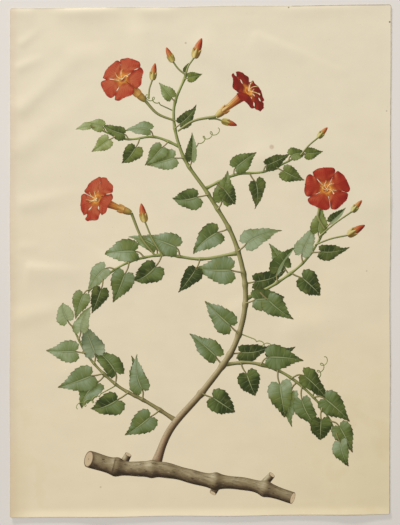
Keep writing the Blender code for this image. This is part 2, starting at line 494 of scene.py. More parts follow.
@dataclass(frozen=True)
class SheetForm:
    """The outline and relief of the skin, by the same rules as its solid."""

    width: float
    height: float
    thickness: float = 0.5
    head_left_drop: float = 4.1
    head_left_inset: float = 0.2
    foot_right_rise: float = 3.4
    foot_right_inset: float = 1.4
    edge_wander: float = 0.35
    wander_in_box: float = 0.22
    waves_along_edge: int = 3
    flat_below: float = 0.05
    foot: EdgeLift = EdgeLift(rise=1.35, reach=6.4, bend=1.2, waves=3.4, least=0.8)
    left: EdgeLift = EdgeLift(rise=1.5, reach=4.0, bend=6.0, waves=4.0, least=0.5)
    right: EdgeLift = EdgeLift(rise=0.35, reach=3.0, bend=4.0, waves=3.0, least=0.6)
    head: EdgeLift = EdgeLift(rise=0.3, reach=3.5, bend=5.0, waves=2.0, least=0.5)
    foot_corner_reach: float = 12.0
    foot_right_fall: float = 0.45
    head_roll_reach: float = 4.5

    @classmethod
    def from_solid(cls) -> "SheetForm":
        """Takes the sheet's width and height from its CAD solid."""
        low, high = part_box(NODE)
        return cls(width=(high.x - low.x) / MM - cls.wander_in_box, height=(high.y - low.y) / MM)

    def outline_point(self, across: Array, along: Array) -> tuple[Array, Array]:
        """Where a point of the sheet lies: the four corners are blended and the edges bow by a slow sine.

        Args:
            across: 0 at the left edge to 1 at the right one.
            along: 0 at the foot to 1 at the head.

        Returns:
            x and y.
        """
        left_x = -self.width / 2 + self.head_left_inset * along
        right_x = self.width / 2 - self.foot_right_inset * (1 - along)
        foot_y = -self.height / 2 + self.foot_right_rise * across
        head_y = self.height / 2 - self.head_left_drop * (1 - across)
        waves = math.tau * self.waves_along_edge
        bow_x = np.sin(math.pi * along) * np.sin(waves * along) * (2 * across - 1)
        bow_y = np.sin(math.pi * across) * np.sin(waves * across) * (2 * along - 1)
        x = left_x + (right_x - left_x) * across - self.edge_wander * bow_x
        return x, foot_y + (head_y - foot_y) * along - self.edge_wander * bow_y

    def underside(self, x: Array, y: Array, across: Array, along: Array) -> Array:
        """How high the skin stands over the table: edge lifts, head rolls and cockles summed.

        Args:
            x: places on the sheet.
            y: places on the sheet.
            across: their shares of the width.
            along: their shares of the height.

        Returns:
            Heights, pressed flat where they are low.
        """
        from_left = across * self.width
        from_right = (1 - across) * self.width
        from_head = (1 - along) * self.height
        stays = 1 - np.exp(-from_left / self.foot_corner_reach)
        stays = stays * (1 - self.foot_right_fall * np.exp(-from_right / self.foot_corner_reach))
        total = self.foot.height(along * self.height, across) * stays
        total = total + self.left.height(from_left, along) + self.right.height(from_right, along)
        total = total + self.head.height(from_head, across)
        for roll in HEAD_ROLLS:
            total = total + roll.height(x, from_head / self.head_roll_reach)
        for cockle in COCKLES:
            total = total + cockle.height(x, y)
        return np.maximum(total - self.flat_below, 0)

    def top(self, x: Array, y: Array) -> Array:
        """The height of the painted side at places on the sheet, whose shares are found in small steps."""
        across, along = x / self.width + 0.5, y / self.height + 0.5
        for _ in range(4):
            at_x, at_y = self.outline_point(across, along)
            across = across + (x - at_x) / self.width
            along = along + (y - at_y) / self.height
        return self.underside(x, y, across, along) + self.thickness


@dataclass(frozen=True)
class Blemish:
    """One natural mark in the skin."""

    x: float
    y: float
    radius: float
    strength: float
    colour: str = "#6e5a44"


BLEMISHES = (
    Blemish(x=71, y=114, radius=3.2, strength=0.5, colour="#a9866a"),
    Blemish(x=-15, y=218, radius=1.5, strength=0.4),
    Blemish(x=88, y=253.5, radius=1.1, strength=0.8),
    Blemish(x=189, y=239, radius=1.2, strength=0.9, colour="#3d3026"),
    Blemish(x=186, y=150, radius=1.0, strength=0.5),
    Blemish(x=-122, y=-66, radius=1.0, strength=0.35),
    Blemish(x=166, y=-10, radius=1.1, strength=0.35),
    Blemish(x=-100, y=-226, radius=1.4, strength=0.3),
)


@dataclass(frozen=True)
class CalfVellum:
    """Calf vellum: dehaired, stretched, scraped and rubbed with pumice.

    It gives a matt cream that is warmer and darker towards the foot, with faint clouds, hair pores, a few
    specks, grime on the cut edges that fingers have turned, and a pinkish painted shade along the lifted
    left edge.
    """

    upper: str = "#dbd1b9"
    lower: str = "#dfd2b4"
    corner: str = "#dacca9"
    stain: str = "#cfbd93"
    flesh_side: str = "#ece3d2"
    grime: str = "#6e6047"
    cut: str = "#9c8762"
    pinkish_edge_shade: str = "#cdae98"
    cloud_size: float = 85.0
    patch_size: float = 24.0
    streak_size: float = 46.0
    streak_squeeze: float = 2.4
    fibre_size: float = 2.4
    pore_size: float = 1.5
    follicle_gap: float = 9.0
    patchy_breakup_size: float = 7.0
    thumbed_from: float = 0.735
    gloss: float = 0.3

    def build(self, form: SheetForm) -> bpy.types.Material:
        """Puts the material together for a sheet of this form."""
        r = Recipe("calf_vellum_pounced")
        across, along = r.split(r.add("UVMap", uv_map="brush"))
        colour = self.blemished(r, self.aged_cream(r, across, along))
        colour = self.grime_and_edge_shade(r, across, along, colour, form)
        colour = r.blend(r.attribute("hair_side"), self.flesh_side, colour)
        colour = r.blend(r.attribute("rim"), colour, self.cut)
        place = r.place()
        fibre = r.grains(place, self.fibre_size, 3.0, 0.6)
        grain = fibre * 0.7 + r.cells(place, self.pore_size) * 0.3
        roughness = r.ramp(fibre, 0.2, 0.8, 0.56, 0.7)
        return r.finish(colour, roughness, grain, strength=0.35, depth=0.06, gloss=self.gloss)

    def aged_cream(self, r: Recipe, across: Flow, along: Flow) -> Flow:
        """The cream itself: warmer to the foot, darkest in the lower right corner, clouded and dusted."""
        place = r.place()
        foot = 1.0 - along
        patch = r.grains(place, self.patch_size)
        warmth = foot + (r.grains(place, self.cloud_size, 3.0) - 0.5) * 0.8
        beside = r.ramp(abs(across - 0.45), 0.22, 0.5) * 0.4
        stained = r.ramp(patch, 0.48, 0.68) * r.ramp(foot, 0.5, 1.0) * beside
        margin = r.ramp(across, 0.0, 0.07, 0.45, 0.0) * r.ramp(foot, 0.8, 0.92)
        colour = r.washed(
            r.blend(r.ramp(warmth, 0.0, 1.0), self.upper, self.lower),
            (r.ramp(across * foot, 0.45, 1.0), self.corner),
            (stained, self.stain),
            (margin, self.stain),
        )
        streak = r.grains(r.stretched(place, 1.0, self.streak_squeeze), self.streak_size)
        unevenness = patch * 0.07 + r.grains(place, self.fibre_size) * 0.03 + streak * 0.08
        return r.add("HueSaturation", {"Color": colour, "Value": unevenness + 0.91})

    def blemished(self, r: Recipe, colour: Flow) -> Flow:
        """The few specks that every skin keeps, and the follicle dots that come through here and there."""
        place = r.place()
        x, y = r.split(place)
        for spot in BLEMISHES:
            dx = x - spot.x * MM
            dy = y - spot.y * MM
            away = r.maths("SQRT", dx * dx + dy * dy)
            radius = spot.radius * MM
            colour = r.blend(r.ramp(away, 0.35 * radius, radius, spot.strength, 0.0), colour, spot.colour)
        return r.blend(r.ramp(r.cells(place, self.follicle_gap), 0.03, 0.06, 0.16, 0.0), colour, self.grime)

    def grime_and_edge_shade(self, r: Recipe, across: Flow, along: Flow, colour: Flow, form: SheetForm) -> Flow:
        """Grime that sinks in from the cuts: dark lines on the right and the thumbed end of the head, and a
        pinkish painted shade along the lifted left edge.
        """
        patchy_breakup = r.ramp(r.grains(r.place(), self.patchy_breakup_size, 3.0), 0.3, 0.6, 0.55, 1.0)
        right = (1.0 - across) * form.width
        left = across * form.width
        head = (1.0 - along) * form.height
        foot = along * form.height
        thumbed = patchy_breakup * r.ramp(across, self.thumbed_from, self.thumbed_from + 0.01)
        colour = r.blend(r.ramp(head, 0.3, 1.1, 0.55, 0.0) * thumbed, colour, self.grime)
        for inwards, reach, strength, tint in (
            (right, 0.75, 0.90, self.grime),
            # a wide pinkish band of painted shade along the left edge, which lifts and turns away from the
            # light
            (left, 10.0, 0.27, self.pinkish_edge_shade),
            (left, 0.8, 0.10, self.grime),
            (head, 1.3, 0.30, self.grime),
            (foot, 0.9, 0.18, self.grime),
        ):
            colour = r.blend(r.ramp(inwards, 0.0, reach, strength, 0.0) * patchy_breakup, colour, tint)
        return colour


@dataclass
class VellumSheet:
    """The skin itself: a fine relief that stands for the CAD's coarser one."""

    form: SheetForm
    finish: CalfVellum = CalfVellum()
    columns: int = 151
    rows: int = 221
    column_crowding: float = 0.55
    row_crowding: float = 0.3
    corner_wear: float = 2.2
    edge_round: float = 0.12

    def grid(self) -> tuple[Array, Array, Array]:
        """Lays out the underside as a grid whose steps bunch up at the edges.

        Returns:
            The points, and each one's shares of the width and the height.
        """
        shares = [
            share - crowding / math.tau * np.sin(math.tau * share)
            for share, crowding in (
                (np.linspace(0, 1, self.columns), self.column_crowding),
                (np.linspace(0, 1, self.rows), self.row_crowding),
            )
        ]
        across, along = np.meshgrid(*shares)
        x, y = self.form.outline_point(across, along)
        x, y = self.worn_corners(x, y)
        return np.stack([x, y, self.form.underside(x, y, across, along)], axis=-1), across, along

    def worn_corners(self, x: Array, y: Array) -> tuple[Array, Array]:
        """Draws the square of skin at each corner in to a quarter circle about its inner end."""
        corner_x = np.where(x < 0, x[:, :1], x[:, -1:])
        corner_y = np.where(y < 0, y[:1], y[-1:])
        out_x = 1 - np.abs(x - corner_x) / self.corner_wear
        out_y = 1 - np.abs(y - corner_y) / self.corner_wear
        inside = (out_x > 0) & (out_y > 0)
        length = np.hypot(out_x, out_y)
        scale = np.where(inside, np.maximum(out_x, out_y) / np.maximum(length, 1e-9), 1)
        centre_x = corner_x - np.sign(x) * self.corner_wear
        centre_y = corner_y - np.sign(y) * self.corner_wear
        return centre_x + (x - centre_x) * scale, centre_y + (y - centre_y) * scale

    def build(self) -> bpy.types.Object:
        """Builds the sheet with a rounded rim and lets it stand for the CAD node."""
        under, across, along = self.grid()
        over = under + np.array([0, 0, self.form.thickness])
        quads, ring = slab_quads(self.rows, self.columns)
        count = self.rows * self.columns
        flat = under.reshape(-1, 3)
        waist = (flat[ring] + over.reshape(-1, 3)[ring]) / 2
        outwards = np.roll(waist, -1, axis=0) - np.roll(waist, 1, axis=0)
        outwards = np.stack([outwards[:, 1], -outwards[:, 0], np.zeros(len(ring))], axis=1)
        waist = waist + self.edge_round * outwards / np.linalg.norm(outwards, axis=1, keepdims=True)
        middle = 2 * count + np.arange(len(ring))
        following = np.roll(middle, -1)
        after = np.roll(ring, -1)
        upper = np.stack([ring, middle, following, after], axis=-1)
        lower = np.stack([middle, ring + count, after + count, following], axis=-1)
        quads = np.vstack([quads[: -len(ring)], upper, lower])
        share = np.stack([across, along], axis=-1).reshape(-1, 2)
        points = np.vstack([over.reshape(-1, 3), flat, waist])
        values = {
            "hair_side": np.concatenate([np.ones(count), np.zeros(count), np.ones(len(ring))]),
            "rim": np.concatenate([np.zeros(2 * count), np.ones(len(ring))]),
        }
        uv = np.vstack([share, share, share[ring]])
        sheet = make_piece("sheet", points, quads, uv, values, [self.finish.build(self.form)])
        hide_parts(NODE)
        return sheet


# Paint


PAINTER_LIGHT = Vector((-0.52, 0.50, 0.69)).normalized()
VEINS = 7.0
VEIN_STAGGER = 0.018


class Brush(Enum):
    """The mixtures on the painter's palette."""

    LEAF = "leaf"
    STEM = "stem"
    BARK = "bark"
    END_GRAIN = "end_grain"
    PETAL = "petal"
    THROAT = "throat"
    TUBE = "tube"
    SEPAL = "sepal"
    STAMEN = "stamen"


@dataclass(frozen=True)
class Film:
    """What a film of paint tells its material.

    aside runs from 0 on the form's middle line to 1 at its edges, and light from 0 to 1 where the form
    faces the painter's window.
    """

    r: Recipe
    uv: Flow
    along: Flow
    across: Flow
    aside: Flow
    place: Flow
    light: Flow
    tone: Flow
    back: Flow

    def stroked(self, long: float, wide: float, strength: float) -> Flow:
        """The light as dry strokes break it up: noise drawn out along the form.

        Args:
            long: strokes to the form's length.
            wide: strokes to the form's width.
            strength: how far they lighten or darken.

        Returns:
            The broken light.
        """
        hatch = self.r.noise(self.r.stretched(self.uv, long, wide), 1.0, 2.0, 0.6) - 0.5
        return self.r.maths("ADD", self.light, hatch * (2 * strength), clamp=True)


@dataclass(frozen=True)
class Gouache:
    """Gum-bound colour laid on vellum in thin washes and finished with dry strokes of a fine brush.

    It gives a matt film in which pigment gathers in grains, darker in a form's shadow and at its edge.
    shades and other are its two mixtures, each from dark to light.
    """

    name: str
    shades: Stops
    other: Stops
    grain_size: float = 1.1
    pool_size: float = 9.0
    roughness: float = 0.62
    gloss: float = 0.12
    unlit_until: float = 0.12
    contrast: float = 1.14
    overhang_loss: float = 0.55

    def read(self, r: Recipe) -> Film:
        """Reads what the film carries, and lights its form from the painter's window."""
        uv = r.add("UVMap", uv_map="brush")
        along, across = r.split(uv)
        inputs = {0: r.attribute("form", 1), 1: PAINTER_LIGHT}
        facing = r.add("VectorMath", inputs, 1, operation="DOT_PRODUCT")
        lit = r.maths("MULTIPLY", facing - self.unlit_until, self.contrast, clamp=True)
        light = lit * (1.0 - r.attribute("shade") * self.overhang_loss)
        aside = abs(across * 2.0 - 1.0)
        return Film(r, uv, along, across, aside, r.place(), light, r.attribute("tone"), r.attribute("back"))

    def toned(self, film: Film, light: Flow) -> Flow:
        """The two mixtures under a light, mixed by the film's tone."""
        return film.r.blend(film.tone, film.r.colours(light, self.shades), film.r.colours(light, self.other))

    def body(self, film: Film) -> Flow:
        """The colour before the grain, which each brush mixes in its own way."""
        raise NotImplementedError

    def build(self) -> bpy.types.Material:
        """Puts the material together: the colour, broken by settled grains and pools of pigment."""
        r = Recipe(self.name)
        film = self.read(r)
        grains = r.grains(film.place, self.grain_size)
        value = grains * 0.16 + r.grains(film.place, self.pool_size, 1.0) * 0.12 + 0.86
        colour = r.add("HueSaturation", {"Color": self.body(film), "Value": value})
        return r.finish(colour, self.roughness, grains, strength=0.25, depth=0.02, gloss=self.gloss)


@dataclass(frozen=True)
class LeafGreen(Gouache):
    """Greens of a blade, with its midrib, its side veins and, from behind, its paler back."""

    behind: Stops = ((0.0, "#525f44"), (0.35, "#6c7958"), (0.65, "#869272"), (1.0, "#a8b194"))
    vein_colour: str = "#8f9b6d"
    rib_colour: str = "#a0a877"
    wash_colour: str = "#75793a"
    wash_size: float = 11.0
    tip_colour: str = "#5f4a2c"

    def body(self, film: Film) -> Flow:
        """Light and shade of the blade, then veins that thin out to the edge, then a gathered rim."""
        r = film.r
        aside = film.aside
        dark = self.shades[0][1]
        light = film.stroked(34.0, 4.0, 0.13)
        side = r.maths("SIGN", film.across - 0.5)
        stagger = r.maths("MULTIPLY_ADD", side, VEIN_STAGGER, film.along)
        vein = r.lines(stagger, VEINS, 0.07) * r.ramp(aside, 0.15, 0.97, 0.40, 0.0)
        shaded = r.lines(stagger + 0.012, VEINS, 0.12) * r.ramp(aside, 0.2, 0.95, 0.20, 0.0)
        gathered = r.ramp(aside, 0.84, 1.0, 0.0, 0.6) * r.ramp(light, 0.3, 0.9, 1.0, 0.35)
        tip = r.ramp(film.along, 0.86, 1.0, 0.0, 0.6)
        browned = r.maths("MAXIMUM", tip, r.ramp(aside, 0.95, 1.0, 0.0, 0.4))
        return r.washed(
            r.blend(film.back, self.toned(film, light), r.colours(light, self.behind)),
            (r.ramp(r.grains(film.place, self.wash_size), 0.5, 0.75, 0.0, 0.45), self.wash_colour),
            (shaded, dark),
            (vein, self.vein_colour),
            (r.ramp(aside, 0.03, 0.20, 0.42, 0.0), dark),
            (r.ramp(aside, 0.02, 0.055, 0.75, 0.0), self.rib_colour),
            (gathered, dark),
            (browned, self.tip_colour),
        )


@dataclass(frozen=True)
class StemGreen(Gouache):
    """A round stem: green above and browner where it is woody, drawn in long strokes."""

    scarred: float = 0.0

    def body(self, film: Film) -> Flow:
        """Two ramps over the light, mixed by how woody the stem is, with scars where it is woody."""
        r = film.r
        rifts = r.noise(r.stretched(film.uv, 75.0, 7.0), 1.0, 3.0, 0.6)
        scars = r.ramp(rifts, 0.55, 0.66, 0.0, self.scarred) * film.tone
        return r.blend(scars, self.toned(film, film.stroked(6.0, 9.0, 0.14)), self.other[0][1])


@dataclass(frozen=True)
class BarkBrown(Gouache):
    """Old bark: split along the grain, with dark cracks, pale flakes and mossy patches."""

    crack_colour: str = "#2f241b"
    flake_colour: str = "#b9a88c"
    moss_size: float = 14.0

    def body(self, film: Film) -> Flow:
        """Light on a round limb, then cracks and flakes stretched along it, then moss."""
        r = film.r
        rifts = r.noise(r.stretched(film.uv, 9.0, 7.0), 1.6, 4.0, 0.65)
        moss = r.grains(film.place, self.moss_size) * film.tone
        return r.washed(
            r.colours(film.stroked(14.0, 10.0, 0.25), self.shades),
            (r.ramp(rifts, 0.42, 0.36, 0.0, 0.75), self.crack_colour),
            (r.ramp(rifts, 0.6, 0.72, 0.0, 0.55), self.flake_colour),
            (r.ramp(moss, 0.35, 0.6, 0.0, 0.4), self.other[1][1]),
        )


@dataclass(frozen=True)
class EndGrain(Gouache):
    """The pale cut end of a limb, with its year rings. Its tone carries the distance from the pith."""

    rings: float = 6.0

    def body(self, film: Film) -> Flow:
        """Rings by the distance from the pith, inside a dark line of bark."""
        r = film.r
        dark, middle, pale = (colour for _, colour in self.shades)
        return r.washed(
            pale,
            (r.lines(film.tone, self.rings, 0.5) * 0.45, middle),
            (r.ramp(film.tone, 0.0, 0.18, 0.8, 0.0), dark),
            (r.ramp(film.tone, 0.8, 0.95, 0.0, 0.9), dark),
        )


@dataclass(frozen=True)
class PetalRed(Gouache):
    """A corolla lobe: yellow at the throat, orange-red beyond, crimson at the rim, with fine veins."""

    throat: str = "#c48033"
    rim: str = "#68160f"
    veins: float = 11.0

    def body(self, film: Film) -> Flow:
        """Light ramp of the red, veins that fan out from the throat, a yellow foot and a dark rim."""
        r = film.r
        along = film.along
        light = r.maths("MULTIPLY_ADD", film.stroked(7.0, 26.0, 0.19), 0.84, 0.12)
        red, orange = r.colours(light, self.shades), r.colours(light, self.other)
        vein = r.lines(film.across, self.veins, 0.2) * 0.42 * r.ramp(along, 0.1, 0.95, 1.0, 0.25)
        edge = r.maths("MAXIMUM", r.ramp(film.aside, 0.86, 1.0, 0.0, 0.6), r.ramp(along, 0.9, 1.0, 0.0, 0.5))
        return r.washed(
            r.blend(r.ramp(along, 0.15, 0.75, 0.85, 0.05), red, orange),
            (vein, self.rim),
            (edge, self.rim),
            (r.ramp(along, 0.02, 0.3, 0.9, 0.0), self.throat),
        )


@dataclass(frozen=True)
class TubeOrange(Gouache):
    """A bud or a flower's tube: yellow-orange at its foot, red at its mouth, ribbed along its length."""

    ribs: float = 5.0
    lean: float = 0.22

    def body(self, film: Film) -> Flow:
        """Two ramps over the light, mixed along the tube, with darker ribs between its lobes."""
        r = film.r
        light = film.stroked(8.0, 12.0, 0.12)
        foot, mouth = r.colours(light, self.other), r.colours(light, self.shades)
        leaning = r.maths("MULTIPLY_ADD", film.along, self.lean, film.across)
        rib = r.lines(leaning, self.ribs, 0.16) * 0.5
        return r.blend(rib, r.blend(r.ramp(film.along, 0.1, 0.65), foot, mouth), self.shades[0][1])


@dataclass(frozen=True)
class ThroatShade(Gouache):
    """The mouth of the flower: dark at the middle and golden at its rim. Its tone is the radius."""

    def body(self, film: Film) -> Flow:
        """One ramp over the distance from the middle, lightened where the far wall catches the light."""
        caught = film.r.ramp(film.light, 0.4, 0.9) * 0.4
        return film.r.blend(caught, film.r.colours(film.tone, self.shades), self.other[1][1])


PALETTE = {
    Brush.LEAF: LeafGreen(
        name="leaf_green_gouache",
        shades=((0.0, "#303a18"), (0.3, "#485526"), (0.55, "#606e39"), (0.78, "#73825a"), (1.0, "#93a184")),
        other=((0.0, "#3f481a"), (0.3, "#5c6527"), (0.55, "#777f38"), (0.78, "#8f9752"), (1.0, "#acb27a")),
    ),
    Brush.STEM: StemGreen(
        name="stem_green_gouache",
        shades=((0.0, "#434e26"), (0.35, "#616f34"), (0.7, "#8b9754"), (1.0, "#b8be82")),
        other=((0.0, "#40301f"), (0.35, "#69503a"), (0.7, "#93795c"), (1.0, "#c0ab8c")),
        scarred=0.45,
    ),
    Brush.BARK: BarkBrown(
        name="bark_brown_gouache",
        shades=((0.0, "#33281a"), (0.3, "#554632"), (0.6, "#807052"), (0.85, "#a59878"), (1.0, "#c1b697")),
        other=((0.0, "#474829"), (0.5, "#79794f"), (1.0, "#9e9f74")),
    ),
    Brush.END_GRAIN: EndGrain(
        name="end_grain_gouache",
        shades=((0.0, "#5d4835"), (0.5, "#a98f6d"), (1.0, "#d0bc99")),
        other=((0.0, "#5d4835"), (1.0, "#d0bc99")),
    ),
    Brush.PETAL: PetalRed(
        name="petal_vermilion_gouache",
        shades=((0.0, "#5a140d"), (0.32, "#7c1c12"), (0.6, "#922417"), (0.82, "#a23421"), (1.0, "#b6583a")),
        other=((0.0, "#6c1e0d"), (0.32, "#8c2d14"), (0.6, "#a13b1c"), (0.82, "#b1522b"), (1.0, "#c3774c")),
    ),
    Brush.TUBE: TubeOrange(
        name="tube_orange_gouache",
        shades=((0.0, "#5f140d"), (0.32, "#8d2815"), (0.62, "#aa3f22"), (0.85, "#be6039"), (1.0, "#d08a5e")),
        other=((0.0, "#834b1a"), (0.32, "#a46c28"), (0.62, "#bc873b"), (0.85, "#cea557"), (1.0, "#dec488")),
    ),
    Brush.THROAT: ThroatShade(
        name="throat_gold_gouache",
        shades=((0.0, "#48100c"), (0.35, "#842a12"), (0.7, "#bf6c24"), (1.0, "#d89840")),
        other=((0.0, "#bf6c24"), (1.0, "#e8be6c")),
    ),
    Brush.SEPAL: StemGreen(
        name="sepal_green_gouache",
        shades=((0.0, "#495324"), (0.35, "#727d36"), (0.7, "#9ca356"), (1.0, "#c9ca8a")),
        other=((0.0, "#7a3a1c"), (0.35, "#a8602c"), (0.7, "#cc8c4a"), (1.0, "#e9c48c")),
    ),
    Brush.STAMEN: StemGreen(
        name="stamen_cream_gouache",
        shades=((0.0, "#b98a4e"), (0.35, "#dcb878"), (0.7, "#efdcaa"), (1.0, "#fbf2d6")),
        other=((0.0, "#4f3018"), (0.35, "#7a5228"), (0.7, "#a97a3e"), (1.0, "#d4ac6c")),
    ),
}


@dataclass
class Plate:
    """One painted form: a grid of points in space that will be pressed flat.

    x and y lie on the sheet and z rises towards the viewer. tone picks between the brush's two mixtures,
    or carries a distance, and back is 1 where a leaf shows its underside. layer counts the coats of paint
    up to this one, and shade is how much later forms overhang a point.
    """

    brush: Brush
    points: Array
    uv: Array
    tone: Array | float = 0.0
    back: float = 0.0
    layer: int = 0
    shade: Array | float = 0.0

    def facing(self) -> float:
        """1 where the grid runs anticlockwise on the sheet, and -1 where it is turned over."""
        along = np.gradient(self.points, axis=0)
        across = np.gradient(self.points, axis=1)
        return 1.0 if np.cross(across[..., :2], along[..., :2]).sum() > 0 else -1.0

    def normals(self) -> Array:
        """The form's own directions, turned to the viewer: the cross product of its two gradients."""
        cross = np.cross(np.gradient(self.points, axis=1), np.gradient(self.points, axis=0))
        cross = cross * np.where(cross[..., 2:] < 0, -1, 1)
        return cross / np.maximum(np.linalg.norm(cross, axis=-1, keepdims=True), 1e-9)


@dataclass
class Coat:
    """What becomes one piece of paint: its name, a slot that is not used, and its plates, the lowest first.
    """

    name: str
    slot: str
    plates: list[Plate]


def finer(grid: Array, axis: int, times: int) -> Array:
    """Fills a grid in between its points, by straight lines along one axis."""
    last = grid.shape[axis] - 1
    at = np.linspace(0, last, last * times + 1)
    low = np.minimum(at.astype(int), last - 1)
    shape = [1] * grid.ndim
    shape[axis] = len(at)
    share = (at - low).reshape(shape)
    return grid.take(low, axis) * (1 - share) + grid.take(low + 1, axis) * share


@dataclass
class Canvas:
    """A map of the sheet in small cells, which finds what lies over what."""

    half_width: float = 215.0
    half_height: float = 275.0
    cell: float = 0.5
    fill: float = 0.8
    overhang: tuple[float, ...] = (0.7, 1.5, 2.4, 3.4)
    fan: tuple[float, ...] = (-38.0, 0.0, 38.0)

    def blank(self) -> Array:
        """An empty map."""
        return np.zeros((int(2 * self.half_height / self.cell), int(2 * self.half_width / self.cell)), int)

    def cells(self, x: Array, y: Array) -> tuple[Array, Array]:
        """The cells of places on the sheet."""
        rows = np.floor((y + self.half_height) / self.cell).astype(int)
        columns = np.floor((x + self.half_width) / self.cell).astype(int)
        return rows, columns

    def covered(self, plate: Plate) -> tuple[Array, Array]:
        """The cells that a plate covers, from its grid filled in to steps shorter than a cell."""
        flat = plate.points[..., :2]
        for axis in (0, 1):
            longest = float(np.linalg.norm(np.diff(flat, axis=axis), axis=-1).max())
            flat = finer(flat, axis, max(1, math.ceil(longest / (self.fill * self.cell))))
        return self.cells(flat[..., 0], flat[..., 1])

    def arrange(self, plates: Sequence[Plate]) -> None:
        """Gives each plate its layer, and its shade from the plates that come after it.

        A plate lies one layer over the highest one beneath it. Shade is looked up towards the painter's
        light, at a few distances and a few angles: it is the share of those places that are covered later.

        Args:
            plates: all plates, the lowest first.
        """
        highest = self.blank()
        for plate in plates:
            cells = self.covered(plate)
            plate.layer = 1 + int(highest[cells].max())
            highest[cells] = plate.layer
        light = math.degrees(math.atan2(PAINTER_LIGHT.y, PAINTER_LIGHT.x))
        looks = [far * towards(light + turn) for far in self.overhang for turn in self.fan]
        later = self.blank()
        for plate in reversed(plates):
            x, y = plate.points[..., 0], plate.points[..., 1]
            plate.shade = np.mean([later[self.cells(x + dx, y + dy)] for dx, dy in looks], axis=0)
            later[self.covered(plate)] = 1


@dataclass
class PaintPress:
    """Presses plates onto the skin, each a little higher than the ones that it covers."""

    form: SheetForm
    first_lift: float = 0.04
    step: float = 0.006
    sunk: float = 0.05
    relief: float = 0.6
    finishes: dict[Brush, bpy.types.Material] = field(default_factory=dict)

    def finish(self, brush: Brush) -> bpy.types.Material:
        """The material of a brush, made when it is first asked for."""
        if brush not in self.finishes:
            self.finishes[brush] = PALETTE[brush].build()
        return self.finishes[brush]

    def film(self, plate: Plate) -> Array:
        """Lays one plate on the skin.

        Its top stands over the skin by the first lift and a step for each layer, and keeps a share of one
        step for its own relief. Its bottom is sunk just under the skin.

        Args:
            plate: the form to press.

        Returns:
            The film's points: the top grid, then the bottom grid.
        """
        x, y, z = np.moveaxis(plate.points, -1, 0)
        if plate.facing() < 0:
            x, y, z = x[:, ::-1], y[:, ::-1], z[:, ::-1]
        skin = self.form.top(x, y)
        own = (z - z.min()) / max(float(np.ptp(z)), 1e-9)
        over = skin + self.first_lift + self.step * (plate.layer + self.relief * own)
        return np.concatenate([np.stack([x, y, h], axis=-1).reshape(-1, 3) for h in (over, skin - self.sunk)])

    def lay(self, coats: Sequence[Coat]) -> None:
        """Arranges all coats over one another and makes a piece of each."""
        Canvas().arrange([plate for coat in coats for plate in coat.plates])
        for coat in coats:
            self.press(coat)

    def press(self, coat: Coat) -> bpy.types.Object:
        """Makes one piece of paint, its plates joined with one material for each brush."""
        brushes = list(dict.fromkeys(plate.brush for plate in coat.plates))
        points, quads, uvs, materials = [], [], [], []
        values: dict[str, list[Array]] = {"form": [], "tone": [], "shade": [], "back": []}
        start = 0
        for plate in coat.plates:
            shape = plate.points.shape[:2]
            step = -1 if plate.facing() < 0 else 1
            faces, _ = slab_quads(*shape)
            points.append(self.film(plate))
            quads.append(faces + start)
            uvs.append(np.tile(plate.uv[:, ::step].reshape(-1, 2), (2, 1)))
            values["form"].append(np.tile(plate.normals()[:, ::step].reshape(-1, 3), (2, 1)))
            for key in ("tone", "shade", "back"):
                value = np.broadcast_to(getattr(plate, key), shape)[:, ::step]
                values[key].append(np.tile(value.ravel(), 2))
            materials.append(np.full(len(faces), brushes.index(plate.brush)))
            start += 2 * shape[0] * shape[1]
        piece = make_piece(
            coat.name,
            np.concatenate(points),
            np.concatenate(quads),
            np.concatenate(uvs),
            {key: np.concatenate(value) for key, value in values.items()},
            [self.finish(brush) for brush in brushes],
            np.concatenate(materials),
        )
        return piece


# Painted forms


SEEN_TURN = 80


def grid_uv(rows: int, columns: int, length: float = 1.0) -> Array:
    """The map of a form: x runs along it to its length, and y across it from 0 to 1."""
    along, across = np.meshgrid(np.linspace(0, length, rows), np.linspace(0, 1, columns), indexing="ij")
    return np.stack([along, across], axis=-1)


def ribbon(
    line: Array,
    radius: Array | float,
    brush: Brush,
    tone: Array | float = 0.0,
    columns: int = 7,
    rise: Array | float = 0.0,
    length: float | None = None,
) -> Plate:
    """A round stem seen from the side: half a turn of a tube about a line.

    Each row is a half circle: aside by radius x sin(a) and up by radius x cos(a), with a from -80 to 80
    degrees, stretched to the full radius.

    Args:
        line: rows x 2 points on the sheet.
        radius: the stem's radius along it.
        brush: its paint.
        tone: its tone along it.
        columns: points across it.
        rise: height of its middle line, which decides what lies over what where it crosses itself.
        length: the length that its map gives it, or else its real one in tenths of a metre.

    Returns:
        The plate.
    """
    rows = len(line)
    turn = np.radians(np.linspace(-SEEN_TURN, SEEN_TURN, columns))
    reach = np.broadcast_to(radius, (rows,))[:, None]
    aside = reach * np.sin(turn) / math.sin(turn[-1])
    flat = line[:, None] + rightwards(line)[:, None] * aside[..., None]
    up = reach * np.cos(turn) + np.broadcast_to(rise, (rows,))[:, None]
    if length is None:
        length = float(np.linalg.norm(np.diff(line, axis=0), axis=1).sum()) / 100
    shades = tone[:, None] if isinstance(tone, Array) else tone
    return Plate(brush, np.dstack([flat, up]), grid_uv(rows, columns, length), shades)


@dataclass(frozen=True)
class Outline:
    """Half of a blade's edge, from its foot to its tip, in shares of the blade's length.

    lag says how far the side veins lean: the midrib's point at a share s of the edge stands at s ** lag.
    """

    points: tuple[Point, ...]
    lag: float
    teeth: int = 0
    tooth: float = 0.0

    def edge(self, rows: int) -> Array:
        """The edge, cut into teeth that point to the tip: each leans out evenly and drops back at once."""
        edge = smooth_line(self.points, rows)
        if self.teeth:
            share = np.linspace(0, 1, rows)
            saw = (share * self.teeth % 1.0) ** 1.3 * np.sin(math.pi * share) ** 0.5
            edge = edge + rightwards(edge) * self.tooth * saw[:, None]
        return edge


